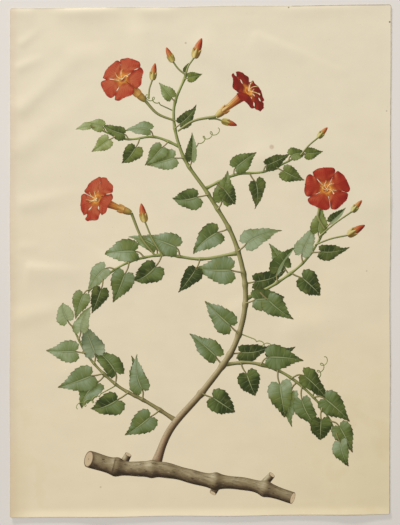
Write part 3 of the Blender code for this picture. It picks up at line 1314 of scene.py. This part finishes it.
HEART = Outline(
    points=(
        *((0.010, 0.000), (0.115, -0.085), (0.265, -0.095), (0.385, 0.010), (0.420, 0.170)),
        *((0.365, 0.360), (0.255, 0.540), (0.145, 0.690), (0.072, 0.830), (0.006, 1.000)),
    ),
    lag=1.8,
    teeth=10,
    tooth=0.048,
)
LOBE = Outline(
    points=((0.10, 0.0), (0.15, 0.12), (0.29, 0.36), (0.44, 0.62), (0.47, 0.82), (0.30, 0.98), (0.02, 0.97)),
    lag=1.05,
)
SEPAL = Outline(points=((0.10, 0.0), (0.21, 0.16), (0.22, 0.42), (0.12, 0.75), (0.01, 1.0)), lag=1.0)
DISC = Outline(
    points=tuple((0.5 * math.sin(a), 0.5 - 0.5 * math.cos(a)) for a in np.linspace(0.12, math.pi - 0.12, 9)),
    lag=1.0,
)


@dataclass(frozen=True)
class Held:
    """How a blade is held: pitch, bend, roll and fold in degrees, the rest in shares of its length.

    pitch is how steeply it sinks away from the viewer at its foot, and bend what is added by its tip. roll
    turns it about its midrib and fold raises each half. wave ripples its edge, swing curves its midrib
    aside, quilt swells it between its veins, and arch bows each half down towards its edge.
    """

    pitch: float = 0.0
    bend: float = 0.0
    roll: float = 0.0
    fold: float = 0.0
    wave: float = 0.0
    swing: float = 0.0
    quilt: float = 0.0
    arch: float = 0.0


@dataclass(frozen=True)
class Blade:
    """A leaf, lobe or sepal as a surface in space.

    Each row joins a point of the midrib to the two points of the edge that its side veins run to. The flat
    blade is folded along its midrib, waved at its edge, bent along its length and rolled about it.
    """

    outline: Outline
    length: float
    grid: Grid
    breadth: float = 1.0
    held: Held = Held()
    waves: float = 2.5

    def surface(self) -> Array:
        """The blade with its foot at the origin and its tip towards +Y, rows x columns x 3."""
        held = self.held
        rows, columns = self.grid
        edge = self.outline.edge(rows)
        share = np.linspace(0, 1, rows)[:, None]
        aside = np.linspace(-1, 1, columns)[None]
        rib = share**self.outline.lag
        x = aside * edge[:, :1] * self.breadth
        y = rib + np.abs(aside) ** 1.15 * (edge[:, 1:] - rib)
        ripple = np.sin(math.tau * self.waves * share + np.where(aside > 0, 0.0, 1.9)) * aside**2
        between = np.sin(math.pi * VEINS * (share + VEIN_STAGGER * np.sign(aside))) ** 2
        rise = held.wave * ripple * np.sin(math.pi * share) + held.quilt * between * np.abs(aside)
        rise = rise + np.abs(x) * math.sin(math.radians(held.fold)) - held.arch * aside**2 * edge[:, :1] / 0.4
        x = x * math.cos(math.radians(held.fold)) + held.swing * np.clip(y, 0, 1) ** 2
        table = np.linspace(-0.4, 1.2, 161)
        angle = np.radians(held.pitch + held.bend * np.clip(table, 0, 1))
        reach = np.cumsum(np.cos(angle)) * (table[1] - table[0])
        drop = np.cumsum(np.sin(angle)) * (table[1] - table[0])
        tilt = np.interp(y, table, angle)
        ahead = np.interp(y, table, reach - np.interp(0, table, reach)) + rise * np.sin(tilt)
        up = rise * np.cos(tilt) - np.interp(y, table, drop - np.interp(0, table, drop))
        bent = np.stack([np.broadcast_to(x, y.shape), ahead, up], axis=-1)
        return turned(bent, (0, 1, 0), held.roll) * self.length

    def plate(self, brush: Brush, foot: Sequence[float], heading: float, **extra) -> Plate:
        """Puts the blade on the sheet.

        Args:
            brush: its paint.
            foot: where it starts.
            heading: where its tip points, in degrees from +X.
            **extra: the plate's tone and back.

        Returns:
            The plate.
        """
        return Plate(brush, set_down(self.surface(), heading, foot), grid_uv(*self.grid), **extra)


def disc(radius: float, grid: Grid) -> tuple[Array, Array]:
    """A flat round plate about the origin, and its points' distance from the middle in radii."""
    points = Blade(DISC, 2 * radius, grid).surface() - np.array([0, radius, 0])
    return points, np.linalg.norm(points[..., :2], axis=-1) / radius


# The plant


LEAF_GRID = (73, 17)
LOBE_GRID = (41, 21)
SEPAL_GRID = (16, 7)
THROAT_GRID = (19, 15)
CUT_GRID = (17, 13)
ANTHER_GRID = (9, 7)
ROUGH_ROWS = 60


class Side(Enum):
    """Which side of its shoot something leaves, seen towards the shoot's tip."""

    LEFT = 1
    RIGHT = -1


class Carriage(Enum):
    """The ways in which this plant carries its leaves."""

    OPEN = Held(pitch=4, bend=30, roll=8, fold=18, wave=0.030, swing=0.10, quilt=0.005, arch=0.09)
    LIT = Held(pitch=10, bend=34, roll=-38, fold=20, wave=0.030, swing=-0.14, quilt=0.005, arch=0.09)
    SHADED = Held(pitch=6, bend=36, roll=40, fold=20, wave=0.030, swing=0.14, quilt=0.005, arch=0.09)
    DROOPING = Held(pitch=20, bend=52, roll=-14, fold=24, wave=0.035, swing=0.10, quilt=0.005, arch=0.08)
    CURLING = Held(pitch=-30, bend=96, roll=18, fold=24, wave=0.040, swing=-0.12, quilt=0.006, arch=0.07)
    FOLDED = Held(pitch=2, bend=30, roll=-16, fold=56, wave=0.035, swing=0.16, quilt=0.004, arch=0.05)
    TURNED_OVER = Held(pitch=4, bend=22, roll=152, fold=18, wave=0.030, swing=0.12, quilt=0.005, arch=0.08)


LEFT, RIGHT = Side
OPEN, LIT, SHADED, DROOPING, CURLING, FOLDED, TURNED_OVER = Carriage


@dataclass(frozen=True)
class Leaf:
    """One leaf on a shoot.

    at is its share of the way along the shoot, spread its angle from the shoot's direction, and young
    runs from 0 for a full-grown leaf to 1 for a new one.
    """

    at: float
    side: Side
    length: float
    spread: float = 60.0
    carriage: Carriage = OPEN
    stalk: float = 0.34
    young: float = 0.0
    sag: float = 0.30
    breadth: float = 0.84


@dataclass(frozen=True)
class Shoot:
    """A stem with its leaves: its line, its radius and woodiness at its foot and its tip.

    A stalk bows outwards by some degrees and droops by a share of its length. The drifts say how far the
    small seeded turns go that keep two blades from being alike.
    """

    name: str
    line: tuple[Point, ...]
    radius: Point
    woody: Point
    leaves: tuple[Leaf, ...]
    under: tuple[Leaf, ...] = ()
    step: float = 2.2
    foot_swell: float = 0.35
    joint_swell: float = 0.3
    joint_length: float = 2.6
    stalk_bow: float = 9.0
    stalk_droop: float = 0.12
    stalk_woody: float = 0.55
    heading_drift: float = 3.0
    pitch_drift: float = 4.0
    curl_drift: float = 5.0
    tone_drift: float = 0.12

    def path(self) -> Array:
        """The shoot's line in even steps."""
        rough = smooth_line(self.line, ROUGH_ROWS)
        length = np.linalg.norm(np.diff(rough, axis=0), axis=1).sum()
        return smooth_line(self.line, max(int(length / self.step), 8))

    def stem(self) -> Plate:
        """The stem: it thins towards its tip, and swells by a bell at its foot and at each leaf's joint."""
        path = self.path()
        share = np.linspace(0, 1, len(path))
        radius = self.radius[0] + (self.radius[1] - self.radius[0]) * share**0.7
        far = share * self.step * len(path)
        radius = radius * (1 + self.foot_swell * np.exp(-((far / (3 * self.radius[0])) ** 2)))
        for leaf in self.leaves + self.under:
            bell = np.exp(-(((far - leaf.at * far[-1]) / self.joint_length) ** 2))
            radius = radius * (1 + self.joint_swell * bell)
        woody = self.woody[0] + (self.woody[1] - self.woody[0]) * share
        return ribbon(path, radius, Brush.STEM, woody, columns=9)

    def stalk_line(self, leaf: Leaf, path: Array) -> Array:
        """A leaf's stalk: it leaves the stem at the leaf's spread, bows and droops."""
        number = int(round(leaf.at * (len(path) - 1)))
        start = path[number]
        ahead = path[min(number + 2, len(path) - 1)] - path[max(number - 2, 0)]
        heading = bearing(ahead) + leaf.side.value * leaf.spread
        length = leaf.stalk * leaf.length
        mid = start + 0.55 * length * towards(heading + leaf.side.value * self.stalk_bow)
        end = start + length * towards(heading) - np.array([0, self.stalk_droop * length])
        return smooth_line((start, mid, end), 9)

    def leaf_plates(self, leaves: Sequence[Leaf], draw: np.random.Generator) -> list[Plate]:
        """The stalks and blades of some of the shoot's leaves; a blade hangs on from its stalk by its sag.

        Args:
            leaves: the leaves.
            draw: the source of the small turns.

        Returns:
            The plates, with each leaf's stalk before its blade.
        """
        path = self.path()
        plates = []
        for leaf in leaves:
            line = self.stalk_line(leaf, path)
            last = line[-1] - line[-2]
            hang = last / np.linalg.norm(last) - np.array([0, leaf.sag])
            heading = bearing(hang) + draw.normal(0, self.heading_drift)
            radius = np.linspace(0.95, 0.75, len(line)) * (0.5 + leaf.length / 80)
            plates.append(ribbon(line, radius, Brush.STEM, self.stalk_woody))
            held = leaf.carriage.value
            held = replace(
                held,
                pitch=held.pitch + draw.normal(0, self.pitch_drift),
                bend=held.bend + draw.normal(0, self.curl_drift),
                roll=held.roll + draw.normal(0, self.curl_drift),
                swing=held.swing * leaf.side.value,
            )
            blade = Blade(HEART, leaf.length, LEAF_GRID, leaf.breadth, held)
            tone = float(np.clip(leaf.young + draw.normal(0, self.tone_drift), 0, 1))
            back = 1.0 if abs(held.roll) > 90 else 0.0
            plates.append(blade.plate(Brush.LEAF, line[-1], heading, tone=tone, back=back))
        return plates


@dataclass(frozen=True)
class Flower:
    """An open flower: a tube that flares into five lobes.

    facing is the direction in which its mouth leans over the sheet, tilt how far it leans from the viewer,
    and cup how steeply its lobes rise out of the throat. Each stamen has its turn and its reach, and the
    last and longest of them is the style. Each sepal has its turn and its length.
    """

    name: str
    centre: Point
    foot: Point
    facing: float
    tilt: float
    spin: float = 0.0
    cup: float = 30.0
    lobes: int = 5
    lobe: float = 20.5
    lobe_breadth: float = 1.22
    lobe_from: float = 0.62
    stalk_bow: float = 4.0
    tube: float = 36.0
    tube_foot: float = 2.7
    tube_flare: float = 3.9
    throat: float = 4.8
    throat_depth: float = 3.5
    calyx_back: float = 9.0
    calyx_length: float = 11.0
    calyx_girth: float = 3.6
    sepals: tuple[Point, ...] = ((17, 7.0), (-17, 7.0), (0, 8.5))
    sepal_shift: float = 0.11
    stamens: tuple[Point, ...] = ((20, 6.5), (95, 5.6), (170, 6.2), (235, 5.2), (300, 9.0))
    stamen_radius: float = 0.34
    stamen_rise: float = 7.5
    stamen_arch: float = 1.6
    anther: float = 2.3

    def leaning(self, points: Array) -> Array:
        """Tips the corolla from facing the viewer to its own tilt, and puts it in place."""
        return moved(turned(points, (*left_of(towards(self.facing)), 0), self.tilt), self.centre)

    def tube_end(self) -> Array:
        """Where the tube meets the calyx: back from the mouth by its foreshortened length."""
        return np.array(self.centre) - towards(self.facing) * self.tube * math.sin(math.radians(self.tilt))

    def stalk_and_tube(self) -> list[Plate]:
        """The stalk, then the calyx and the tube that narrows back from the mouth."""
        end = self.tube_end()
        way = np.array(self.centre) - end
        length = float(np.linalg.norm(way))
        way = way / length
        calyx = end - self.calyx_back * way
        bow = (np.array(self.foot) + calyx) / 2 + self.stalk_bow * left_of(way)
        line = smooth_line((self.foot, bow, calyx), 24)
        share = np.linspace(0, 1, 20)
        body = end + (share * length)[:, None] * way
        cup = calyx + (share * self.calyx_length)[:, None] * way
        girth = self.calyx_girth * np.sin(math.pi * (0.12 + 0.62 * share)) ** 0.6
        plates = [
            ribbon(line, np.linspace(1.0, 1.5, len(line)), Brush.STEM, 0.35),
            ribbon(body, self.tube_foot + self.tube_flare * share**1.6, Brush.TUBE, columns=11, length=0.8),
            ribbon(cup, girth, Brush.SEPAL, 0.25 + 0.5 * share, columns=9, length=0.3),
        ]
        for turn, size in self.sepals:
            foot = calyx + (self.calyx_back - 1) * way + self.sepal_shift * turn * left_of(way)
            sepal = Blade(SEPAL, size, SEPAL_GRID, 1.3, Held(pitch=8, bend=-14, fold=-30))
            plates.append(sepal.plate(Brush.SEPAL, foot, bearing(way) + turn, tone=0.7))
        return plates

    def corolla(self) -> list[Plate]:
        """The lobes round the throat, the throat itself, and the stamens that stand in it."""
        plates = []
        for number in range(self.lobes):
            roll = (-1) ** number * 4
            held = Held(pitch=-self.cup, bend=1.7 * self.cup, roll=roll, fold=-9, wave=0.045, swing=0.05)
            flat = Blade(LOBE, self.lobe, LOBE_GRID, self.lobe_breadth, held, waves=3.2).surface()
            turn = self.spin + 360 / self.lobes * number
            out = turned(flat + np.array([0, self.lobe_from * self.throat, 0]), (0, 0, 1), turn)
            plates.append(Plate(Brush.PETAL, self.leaning(out), grid_uv(*LOBE_GRID)))
        return plates + [self.bowl()] + self.stamen_plates()

    def bowl(self) -> Plate:
        """The mouth: a bowl whose floor lies at the middle and rises by the radius squared."""
        points, radius = disc(self.throat, THROAT_GRID)
        points[..., 2] = self.throat_depth * (radius**2 - 1)
        return Plate(Brush.THROAT, self.leaning(points), grid_uv(*THROAT_GRID), np.clip(radius, 0, 1))

    def stamen_plates(self) -> list[Plate]:
        """The stamens and the style, which arch out of the throat and end in anthers and a stigma."""
        plates = []
        share = np.linspace(0, 1, 10)[:, None]
        for turn, reach in self.stamens:
            way = towards(turn + self.spin)
            line = share * reach * way + self.stamen_arch * np.sin(math.pi * share) * left_of(way)
            flat = self.leaning(np.concatenate([line, self.stamen_rise * share], axis=1))[:, :2]
            plates.append(ribbon(flat, self.stamen_radius, Brush.STAMEN, 0.15, columns=5))
            tip = Blade(DISC, self.anther, ANTHER_GRID, 0.6)
            tone = 0.2 if reach == self.stamens[-1][1] else 0.9
            plates.append(tip.plate(Brush.STAMEN, flat[-1] - 1.1 * towards(turn), turn, tone=tone))
        return plates

    def plates(self) -> list[Plate]:
        """The whole flower, from its stalk up."""
        return self.stalk_and_tube() + self.corolla()


@dataclass(frozen=True)
class Bud:
    """A closed bud on its stalk: a spindle with a spiral seam and three sepals at its foot."""

    foot: Point
    at: Point
    heading: float
    length: float
    ripe: float
    plumpness: float = 0.15
    stalk_radius: float = 0.85
    stalk_bow: float = 0.08
    curve: float = 0.05
    sepal_turns: tuple[float, ...] = (24, -24, 0)

    def plates(self) -> list[Plate]:
        """The stalk, the bud and its calyx."""
        start = np.array(self.at)
        way = towards(self.heading)
        bow = (np.array(self.foot) + start) / 2 + self.stalk_bow * self.length * left_of(way)
        share = np.linspace(0, 1, 26)
        spine = start + (share * self.length)[:, None] * way
        spine = spine - (self.curve * self.length * share**2)[:, None] * left_of(way)
        swell = np.sin(math.pi * share**0.85) ** 0.7 + 0.28 * (1 - share)
        girth = self.plumpness * self.length * swell + 0.25
        plates = [
            ribbon(smooth_line((self.foot, bow, start), 14), self.stalk_radius, Brush.STEM, 0.3),
            ribbon(spine, girth, Brush.TUBE, columns=11, length=0.25 + 0.75 * self.ripe),
        ]
        for turn in self.sepal_turns:
            held = Held(pitch=10, bend=-16, fold=-34)
            sepal = Blade(SEPAL, 0.42 * self.length + 2, SEPAL_GRID, 1.4, held)
            heading = self.heading + turn
            plates.append(sepal.plate(Brush.SEPAL, start - 0.8 * way, heading, tone=0.5 * self.ripe))
        return plates


@dataclass(frozen=True)
class Tendril:
    """A tendril that reaches out and then, from a share of its way, coils like a spring."""

    foot: Point
    heading: float
    reach: float
    side: Side = LEFT
    coil: float = 2.6
    turns: float = 3.5
    coils_from: float = 0.35
    grows_over: float = 0.3
    bow: float = 0.16
    radius: Point = (0.62, 0.36)

    def plate(self) -> Plate:
        """Steps along the reach while turning in a circle that grows from nothing to the coil's radius."""
        share = np.linspace(0, 1, 110)
        coiled = share - self.coils_from
        grown = np.clip(coiled / self.grows_over, 0, 1) * self.coil
        angle = math.tau * self.turns * np.clip(coiled / (1 - self.coils_from), 0, 1)
        ahead = share * self.reach + grown * np.sin(angle)
        aside = self.bow * self.reach * np.sin(1.5 * share) + grown * (1 - np.cos(angle))
        across = (self.side.value * aside)[:, None] * left_of(towards(self.heading))
        line = np.array(self.foot) + ahead[:, None] * towards(self.heading) + across
        radius = np.linspace(*self.radius, len(share))
        return ribbon(line, radius, Brush.STEM, 0.15, columns=5, rise=12 * share)


@dataclass(frozen=True)
class OldWood:
    """The woody stock that the shoots spring from: a knotted length, sawn at both ends.

    The lumps are waves in the radius, each with its rise, its waves along the line and its shift. Each knot
    stands at a share of the line. Each stub has its share, its heading and its reach, and is drawn in as
    stub_radius says, in shares of the stock's.
    """

    line: tuple[Point, ...] = ((-112, -198), (-78, -207), (-36, -209), (6, -219), (50, -224), (92, -237))
    radius: float = 7.4
    lumps: tuple[tuple[float, float, float], ...] = ((0.05, 23, 0.0), (0.035, 51, 1.0))
    knots: tuple[float, ...] = (0.14, 0.31, 0.62, 0.86)
    knot_swell: float = 0.22
    knot_length: float = 0.022
    stubs: tuple[tuple[float, float, float], ...] = ((0.17, 62, 15), (0.64, -118, 13), (0.84, 48, 17))
    stub_radius: Point = (0.62, 0.46)

    def limb(self, line: Array, radius: Array, heading: float, facing: float) -> list[Plate]:
        """A length of wood and the cut that closes it.

        Args:
            line: its middle line, which ends at the cut.
            radius: its radius along the line.
            heading: the line's direction at the cut.
            facing: how much of the cut shows, from 0 to 1.

        Returns:
            The bark, then the cut.
        """
        points, share = disc(float(radius[-1]), CUT_GRID)
        points[..., 1] *= facing
        points = set_down(points, heading, line[-1])
        cut = Plate(Brush.END_GRAIN, points, grid_uv(*CUT_GRID), np.clip(share, 0, 1))
        return [ribbon(line, radius, Brush.BARK, 0.6, columns=13), cut]

    def plates(self) -> list[Plate]:
        """The stubs, then the stock up to its right cut, then a short length back to its left cut."""
        path = smooth_line(self.line, 100)
        share = np.linspace(0, 1, len(path))
        lumps = sum(rise * np.sin(waves * share + shift) for rise, waves, shift in self.lumps)
        radius = self.radius * (1.1 - 0.28 * share + lumps)
        for knot in self.knots:
            radius = radius * (1 + self.knot_swell * np.exp(-(((share - knot) / self.knot_length) ** 2)))
        plates = []
        for at, heading, reach in self.stubs:
            line = path[int(at * (len(path) - 1))] + np.linspace(0, reach, 12)[:, None] * towards(heading)
            plates += self.limb(line, np.linspace(*self.stub_radius, len(line)) * self.radius, heading, 0.45)
        plates += self.limb(path, radius, bearing(path[-1] - path[-2]), 0.35)
        return plates + self.limb(path[12::-1], radius[12::-1], bearing(path[0] - path[1]), 0.5)


LAST_LEAF_AT = 0.995
LONGEST_LEAF_AT = 0.35
LEAF_CROWDING = 0.88
WIDEST_SPREAD = 64.0
SPREAD_LOSS = 30.0
LAST_SPREAD = 6.0


def alternate(
    count: int,
    first_side: Side,
    lengths: tuple[float, float, float],
    carriages: Sequence[Carriage],
    young: Point,
    first: float = 0.14,
) -> tuple[Leaf, ...]:
    """Sets leaves along a shoot on alternate sides, closer together towards its tip.

    Args:
        count: how many leaves.
        first_side: the side of the lowest leaf.
        lengths: of the lowest leaf, of the longest, a third of the way up, and of the last.
        carriages: how they are held, repeated as needed.
        young: how young the lowest and the last are.
        first: where the lowest one stands.

    Returns:
        The leaves, from the foot up.
    """
    leaves = []
    for number in range(count):
        share = number / (count - 1)
        at = first + (LAST_LEAF_AT - first) * share**LEAF_CROWDING
        length = float(np.interp(share, (0.0, LONGEST_LEAF_AT, 1.0), lengths))
        side = Side(first_side.value * (-1) ** number)
        spread = WIDEST_SPREAD - SPREAD_LOSS * share if number < count - 1 else LAST_SPREAD
        new = young[0] + (young[1] - young[0]) * share
        leaves.append(Leaf(at, side, length, spread, carriages[number % len(carriages)], young=new))
    return tuple(leaves)


SHOOTS = (
    Shoot(
        name="main",
        line=(
            *((-46, -206), (-30, -168), (4, -128), (34, -84), (45, -34)),
            *((34, 20), (8, 66), (-18, 106), (-27, 150), (-14, 188)),
        ),
        radius=(4.2, 1.2),
        woody=(1.0, 0.0),
        leaves=(
            Leaf(0.20, RIGHT, 36, 66, DROOPING),
            Leaf(0.36, LEFT, 40, 60, LIT),
            Leaf(0.43, RIGHT, 34, 58, CURLING),
            Leaf(0.50, LEFT, 40, 62, OPEN),
            Leaf(0.555, RIGHT, 38, 60, LIT),
            Leaf(0.66, RIGHT, 32, 56, OPEN, young=0.1),
            Leaf(0.70, LEFT, 34, 64, DROOPING, young=0.1),
            Leaf(0.775, RIGHT, 28, 48, FOLDED, young=0.2),
            Leaf(0.80, LEFT, 30, 60, OPEN, young=0.2),
            Leaf(0.87, RIGHT, 25, 55, SHADED, young=0.4),
            Leaf(0.93, LEFT, 20, 50, OPEN, young=0.6),
            Leaf(0.985, RIGHT, 15, 40, OPEN, young=0.9),
            Leaf(0.995, LEFT, 12, 25, FOLDED, young=1.0),
        ),
        under=(
            Leaf(0.28, LEFT, 38, 70, SHADED),
            Leaf(0.31, RIGHT, 34, 46, SHADED),
            Leaf(0.475, RIGHT, 34, 78, SHADED),
            Leaf(0.61, LEFT, 36, 75, CURLING),
        ),
    ),
    Shoot(
        name="lower_right",
        line=((20, -104), (52, -102), (86, -114), (118, -142), (136, -172)),
        radius=(2.0, 0.9),
        woody=(0.5, 0.1),
        leaves=alternate(9, RIGHT, (34, 40, 28), (DROOPING, OPEN, CURLING, LIT, SHADED, OPEN), (0.0, 0.2)),
        under=(Leaf(0.30, LEFT, 30, 80, SHADED), Leaf(0.55, RIGHT, 34, 84, SHADED)),
    ),
    Shoot(
        name="lower_left",
        line=((-24, -160), (-52, -142), (-84, -124), (-112, -96), (-128, -66)),
        radius=(2.2, 0.9),
        woody=(0.7, 0.2),
        leaves=alternate(9, LEFT, (34, 40, 28), (OPEN, LIT, DROOPING, SHADED, OPEN, TURNED_OVER), (0.0, 0.2)),
        under=(Leaf(0.34, RIGHT, 32, 78, SHADED), Leaf(0.60, LEFT, 34, 82, CURLING)),
    ),
    Shoot(
        name="middle_right",
        line=((45, -38), (76, -22), (106, 2), (126, 34)),
        radius=(1.9, 0.9),
        woody=(0.25, 0.0),
        leaves=alternate(7, RIGHT, (32, 36, 22), (OPEN, FOLDED, DROOPING, LIT, SHADED), (0.0, 0.4)),
        under=(Leaf(0.45, LEFT, 30, 80, SHADED),),
    ),
    Shoot(
        name="middle_left",
        line=((37, 8), (0, 2), (-40, 6), (-78, -4), (-110, -28)),
        radius=(1.9, 0.9),
        woody=(0.25, 0.0),
        leaves=alternate(
            8, LEFT, (32, 38, 26), (LIT, OPEN, DROOPING, CURLING, OPEN, SHADED), (0.0, 0.3), first=0.24
        ),
        under=(Leaf(0.52, RIGHT, 30, 82, SHADED),),
    ),
    Shoot(
        name="upper_right",
        line=((4, 72), (34, 86), (66, 90), (100, 106)),
        radius=(1.6, 0.8),
        woody=(0.1, 0.0),
        leaves=alternate(7, RIGHT, (26, 30, 18), (DROOPING, OPEN, LIT, SHADED, OPEN), (0.1, 0.7)),
    ),
    Shoot(
        name="upper_left",
        line=((-20, 114), (-46, 124), (-76, 122), (-106, 134)),
        radius=(1.5, 0.7),
        woody=(0.1, 0.0),
        leaves=alternate(7, LEFT, (25, 28, 16), (OPEN, SHADED, DROOPING, LIT, OPEN), (0.1, 0.8)),
    ),
)

TENDRILS = (
    Tendril(foot=(-18, 104), heading=24, reach=44),
    Tendril(foot=(38, -72), heading=-8, reach=42, side=RIGHT),
    Tendril(foot=(112, -136), heading=58, reach=40),
    Tendril(foot=(-27, 150), heading=168, reach=36, side=RIGHT),
    Tendril(foot=(-84, -124), heading=196, reach=44),
)

FLOWERS = (
    Flower("flower_right", centre=(126, 72), foot=(124, 32), facing=70, tilt=20, spin=10),
    Flower("flower_left", centre=(-104, 62), foot=(-46, 6), facing=158, tilt=52, spin=30, cup=18),
    Flower("flower_upper_left", centre=(-78, 182), foot=(-25, 140), facing=136, tilt=38, spin=52, cup=24),
    Flower("flower_top", centre=(48, 170), foot=(-23, 130), facing=38, tilt=64, spin=4, cup=10),
)

BUDS = (
    Bud(foot=(-15, 186), at=(-6, 204), heading=72, length=20, ripe=0.9),
    Bud(foot=(-15, 186), at=(-28, 200), heading=118, length=15, ripe=0.6),
    Bud(foot=(-52, 162), at=(-48, 182), heading=84, length=16, ripe=0.7),
    Bud(foot=(8, 142), at=(22, 140), heading=-14, length=15, ripe=0.6),
    Bud(foot=(114, 16), at=(148, 26), heading=34, length=19, ripe=0.8),
    Bud(foot=(118, 24), at=(152, 50), heading=52, length=14, ripe=0.4),
    Bud(foot=(-38, 5), at=(-56, 40), heading=104, length=18, ripe=0.8),
    Bud(foot=(100, 106), at=(118, 124), heading=50, length=13, ripe=0.4),
)


@dataclass
class Climber:
    """The painted plant, put on the skin in the order in which a painter would lay it."""

    press: PaintPress
    seed: int = 7

    def build(self) -> None:
        """Lays what is behind the stems, the stems, the wood over their feet, the leaves, and the flowers."""
        draw = np.random.default_rng(self.seed)
        coats = []
        for shoot in SHOOTS:
            if shoot.under:
                name = f"painted_leaves_behind_{shoot.name}"
                coats.append(Coat(name, "green_paint", shoot.leaf_plates(shoot.under, draw)))
        coats.append(Coat("painted_tendrils", "green_paint", [tendril.plate() for tendril in TENDRILS]))
        coats.append(Coat("painted_stems", "green_paint", [shoot.stem() for shoot in reversed(SHOOTS)]))
        coats.append(Coat("painted_wood", "brown_paint", OldWood().plates()))
        for shoot in SHOOTS:
            name = f"painted_leaves_{shoot.name}"
            coats.append(Coat(name, "green_paint", shoot.leaf_plates(shoot.leaves, draw)))
        coats.append(Coat("painted_buds", "red_paint", [plate for bud in BUDS for plate in bud.plates()]))
        for flower in FLOWERS:
            coats.append(Coat(f"painted_{flower.name}", "red_paint", flower.plates()))
        self.press.lay(coats)


# The studio


@dataclass(frozen=True)
class Lamp:
    """One square-cornered soft lamp, aimed at the middle of the sheet.

    Attributes:
        name: what the lamp stands for.
        place: where it hangs.
        size: its width and height.
        power: its power in watts.
        colour: its linear colour.
    """

    name: str
    place: tuple[float, float, float]
    size: Point
    power: float
    colour: tuple[float, float, float] = (1.0, 0.975, 0.94)

    def hang(self) -> None:
        """Makes the lamp and turns it towards the sheet."""
        lamp = bpy.data.lights.new(self.name, "AREA")
        lamp.shape = "RECTANGLE"
        lamp.size, lamp.size_y = (side * MM for side in self.size)
        lamp.energy = self.power
        lamp.color = self.colour
        body = bpy.data.objects.new(self.name, lamp)
        body.location = Vector(self.place) * MM
        body.rotation_euler = (-body.location).to_track_quat("-Z", "Y").to_euler()
        bpy.context.scene.collection.objects.link(body)


# A wide diffuser overhead lights the sheet evenly, and a low window beyond its upper left corner rakes it.
LAMPS = (
    Lamp("diffuser", (-400, 850, 3600), (1800, 1800), 105.0),
    Lamp("window", (-1327, 3127, 847), (900, 300), 91.0),
)


@dataclass(frozen=True)
class Studio:
    """A plain pale table under soft window light, seen from straight above."""

    table_half: float = 6000.0
    table_colour: str = "#dad6d1"
    cloud_size: float = 160.0
    tooth_size: float = 1.2
    lens: float = 85.0
    sensor: float = 36.0
    aim: Point = (-0.65, -1.5)
    photo: Point = (400, 525)
    mm_per_pixel: float = 1.0
    room_colour: str = "#fdfbf8"
    fill_strength: float = 0.13

    def table(self) -> None:
        """The table: a wide square of primed board with a faint tooth."""
        r = Recipe("primed_board")
        place = r.place()
        cloud = r.grains(place, self.cloud_size)
        colour = r.add(
            "HueSaturation",
            {"Color": linear(self.table_colour), "Value": r.ramp(cloud, 0.2, 0.8, 0.985, 1.015)},
        )
        tooth = r.grains(place, self.tooth_size, 3.0)
        material = r.finish(colour, 0.75, tooth, strength=0.1, depth=0.05)
        half = self.table_half * MM
        mesh = bpy.data.meshes.new("table")
        corners = [(-half, -half, 0), (half, -half, 0), (half, half, 0), (-half, half, 0)]
        mesh.from_pydata(corners, [], [(0, 1, 2, 3)])
        mesh.materials.append(material)
        table = bpy.data.objects.new("table", mesh)
        bpy.context.scene.collection.objects.link(table)

    def light(self) -> None:
        """The two lamps, and an even fill from the room."""
        for lamp in LAMPS:
            lamp.hang()
        world = bpy.data.worlds.new("room")
        world.use_nodes = True
        fill = world.node_tree.nodes["Background"].inputs
        fill["Color"].default_value = linear(self.room_colour)
        fill["Strength"].default_value = self.fill_strength
        bpy.context.scene.world = world

    def camera(self, height: float) -> None:
        """Hangs the camera so that one pixel of the photo spans mm_per_pixel at this height."""
        lens = bpy.data.cameras.new("camera")
        lens.lens = self.lens
        lens.sensor_width = self.sensor
        away = self.photo[1] * self.mm_per_pixel * self.lens / self.sensor
        camera = bpy.data.objects.new("camera", lens)
        camera.location = Vector((*self.aim, away + height)) * MM
        bpy.context.scene.collection.objects.link(camera)
        bpy.context.scene.camera = camera
        bpy.context.scene.view_settings.view_transform = "Standard"

    def build(self, height: float) -> None:
        """Sets up the table, the light and the camera."""
        self.table()
        self.light()
        self.camera(height)


def main() -> None:
    """Builds the sheet, the painting on it and the studio round it."""
    logging.basicConfig(level=logging.INFO, format="%(name)s %(message)s")
    form = SheetForm.from_solid()
    VellumSheet(form).build()
    Climber(PaintPress(form)).build()
    Studio().build(form.thickness)


if __name__ == "__main__":
    main()
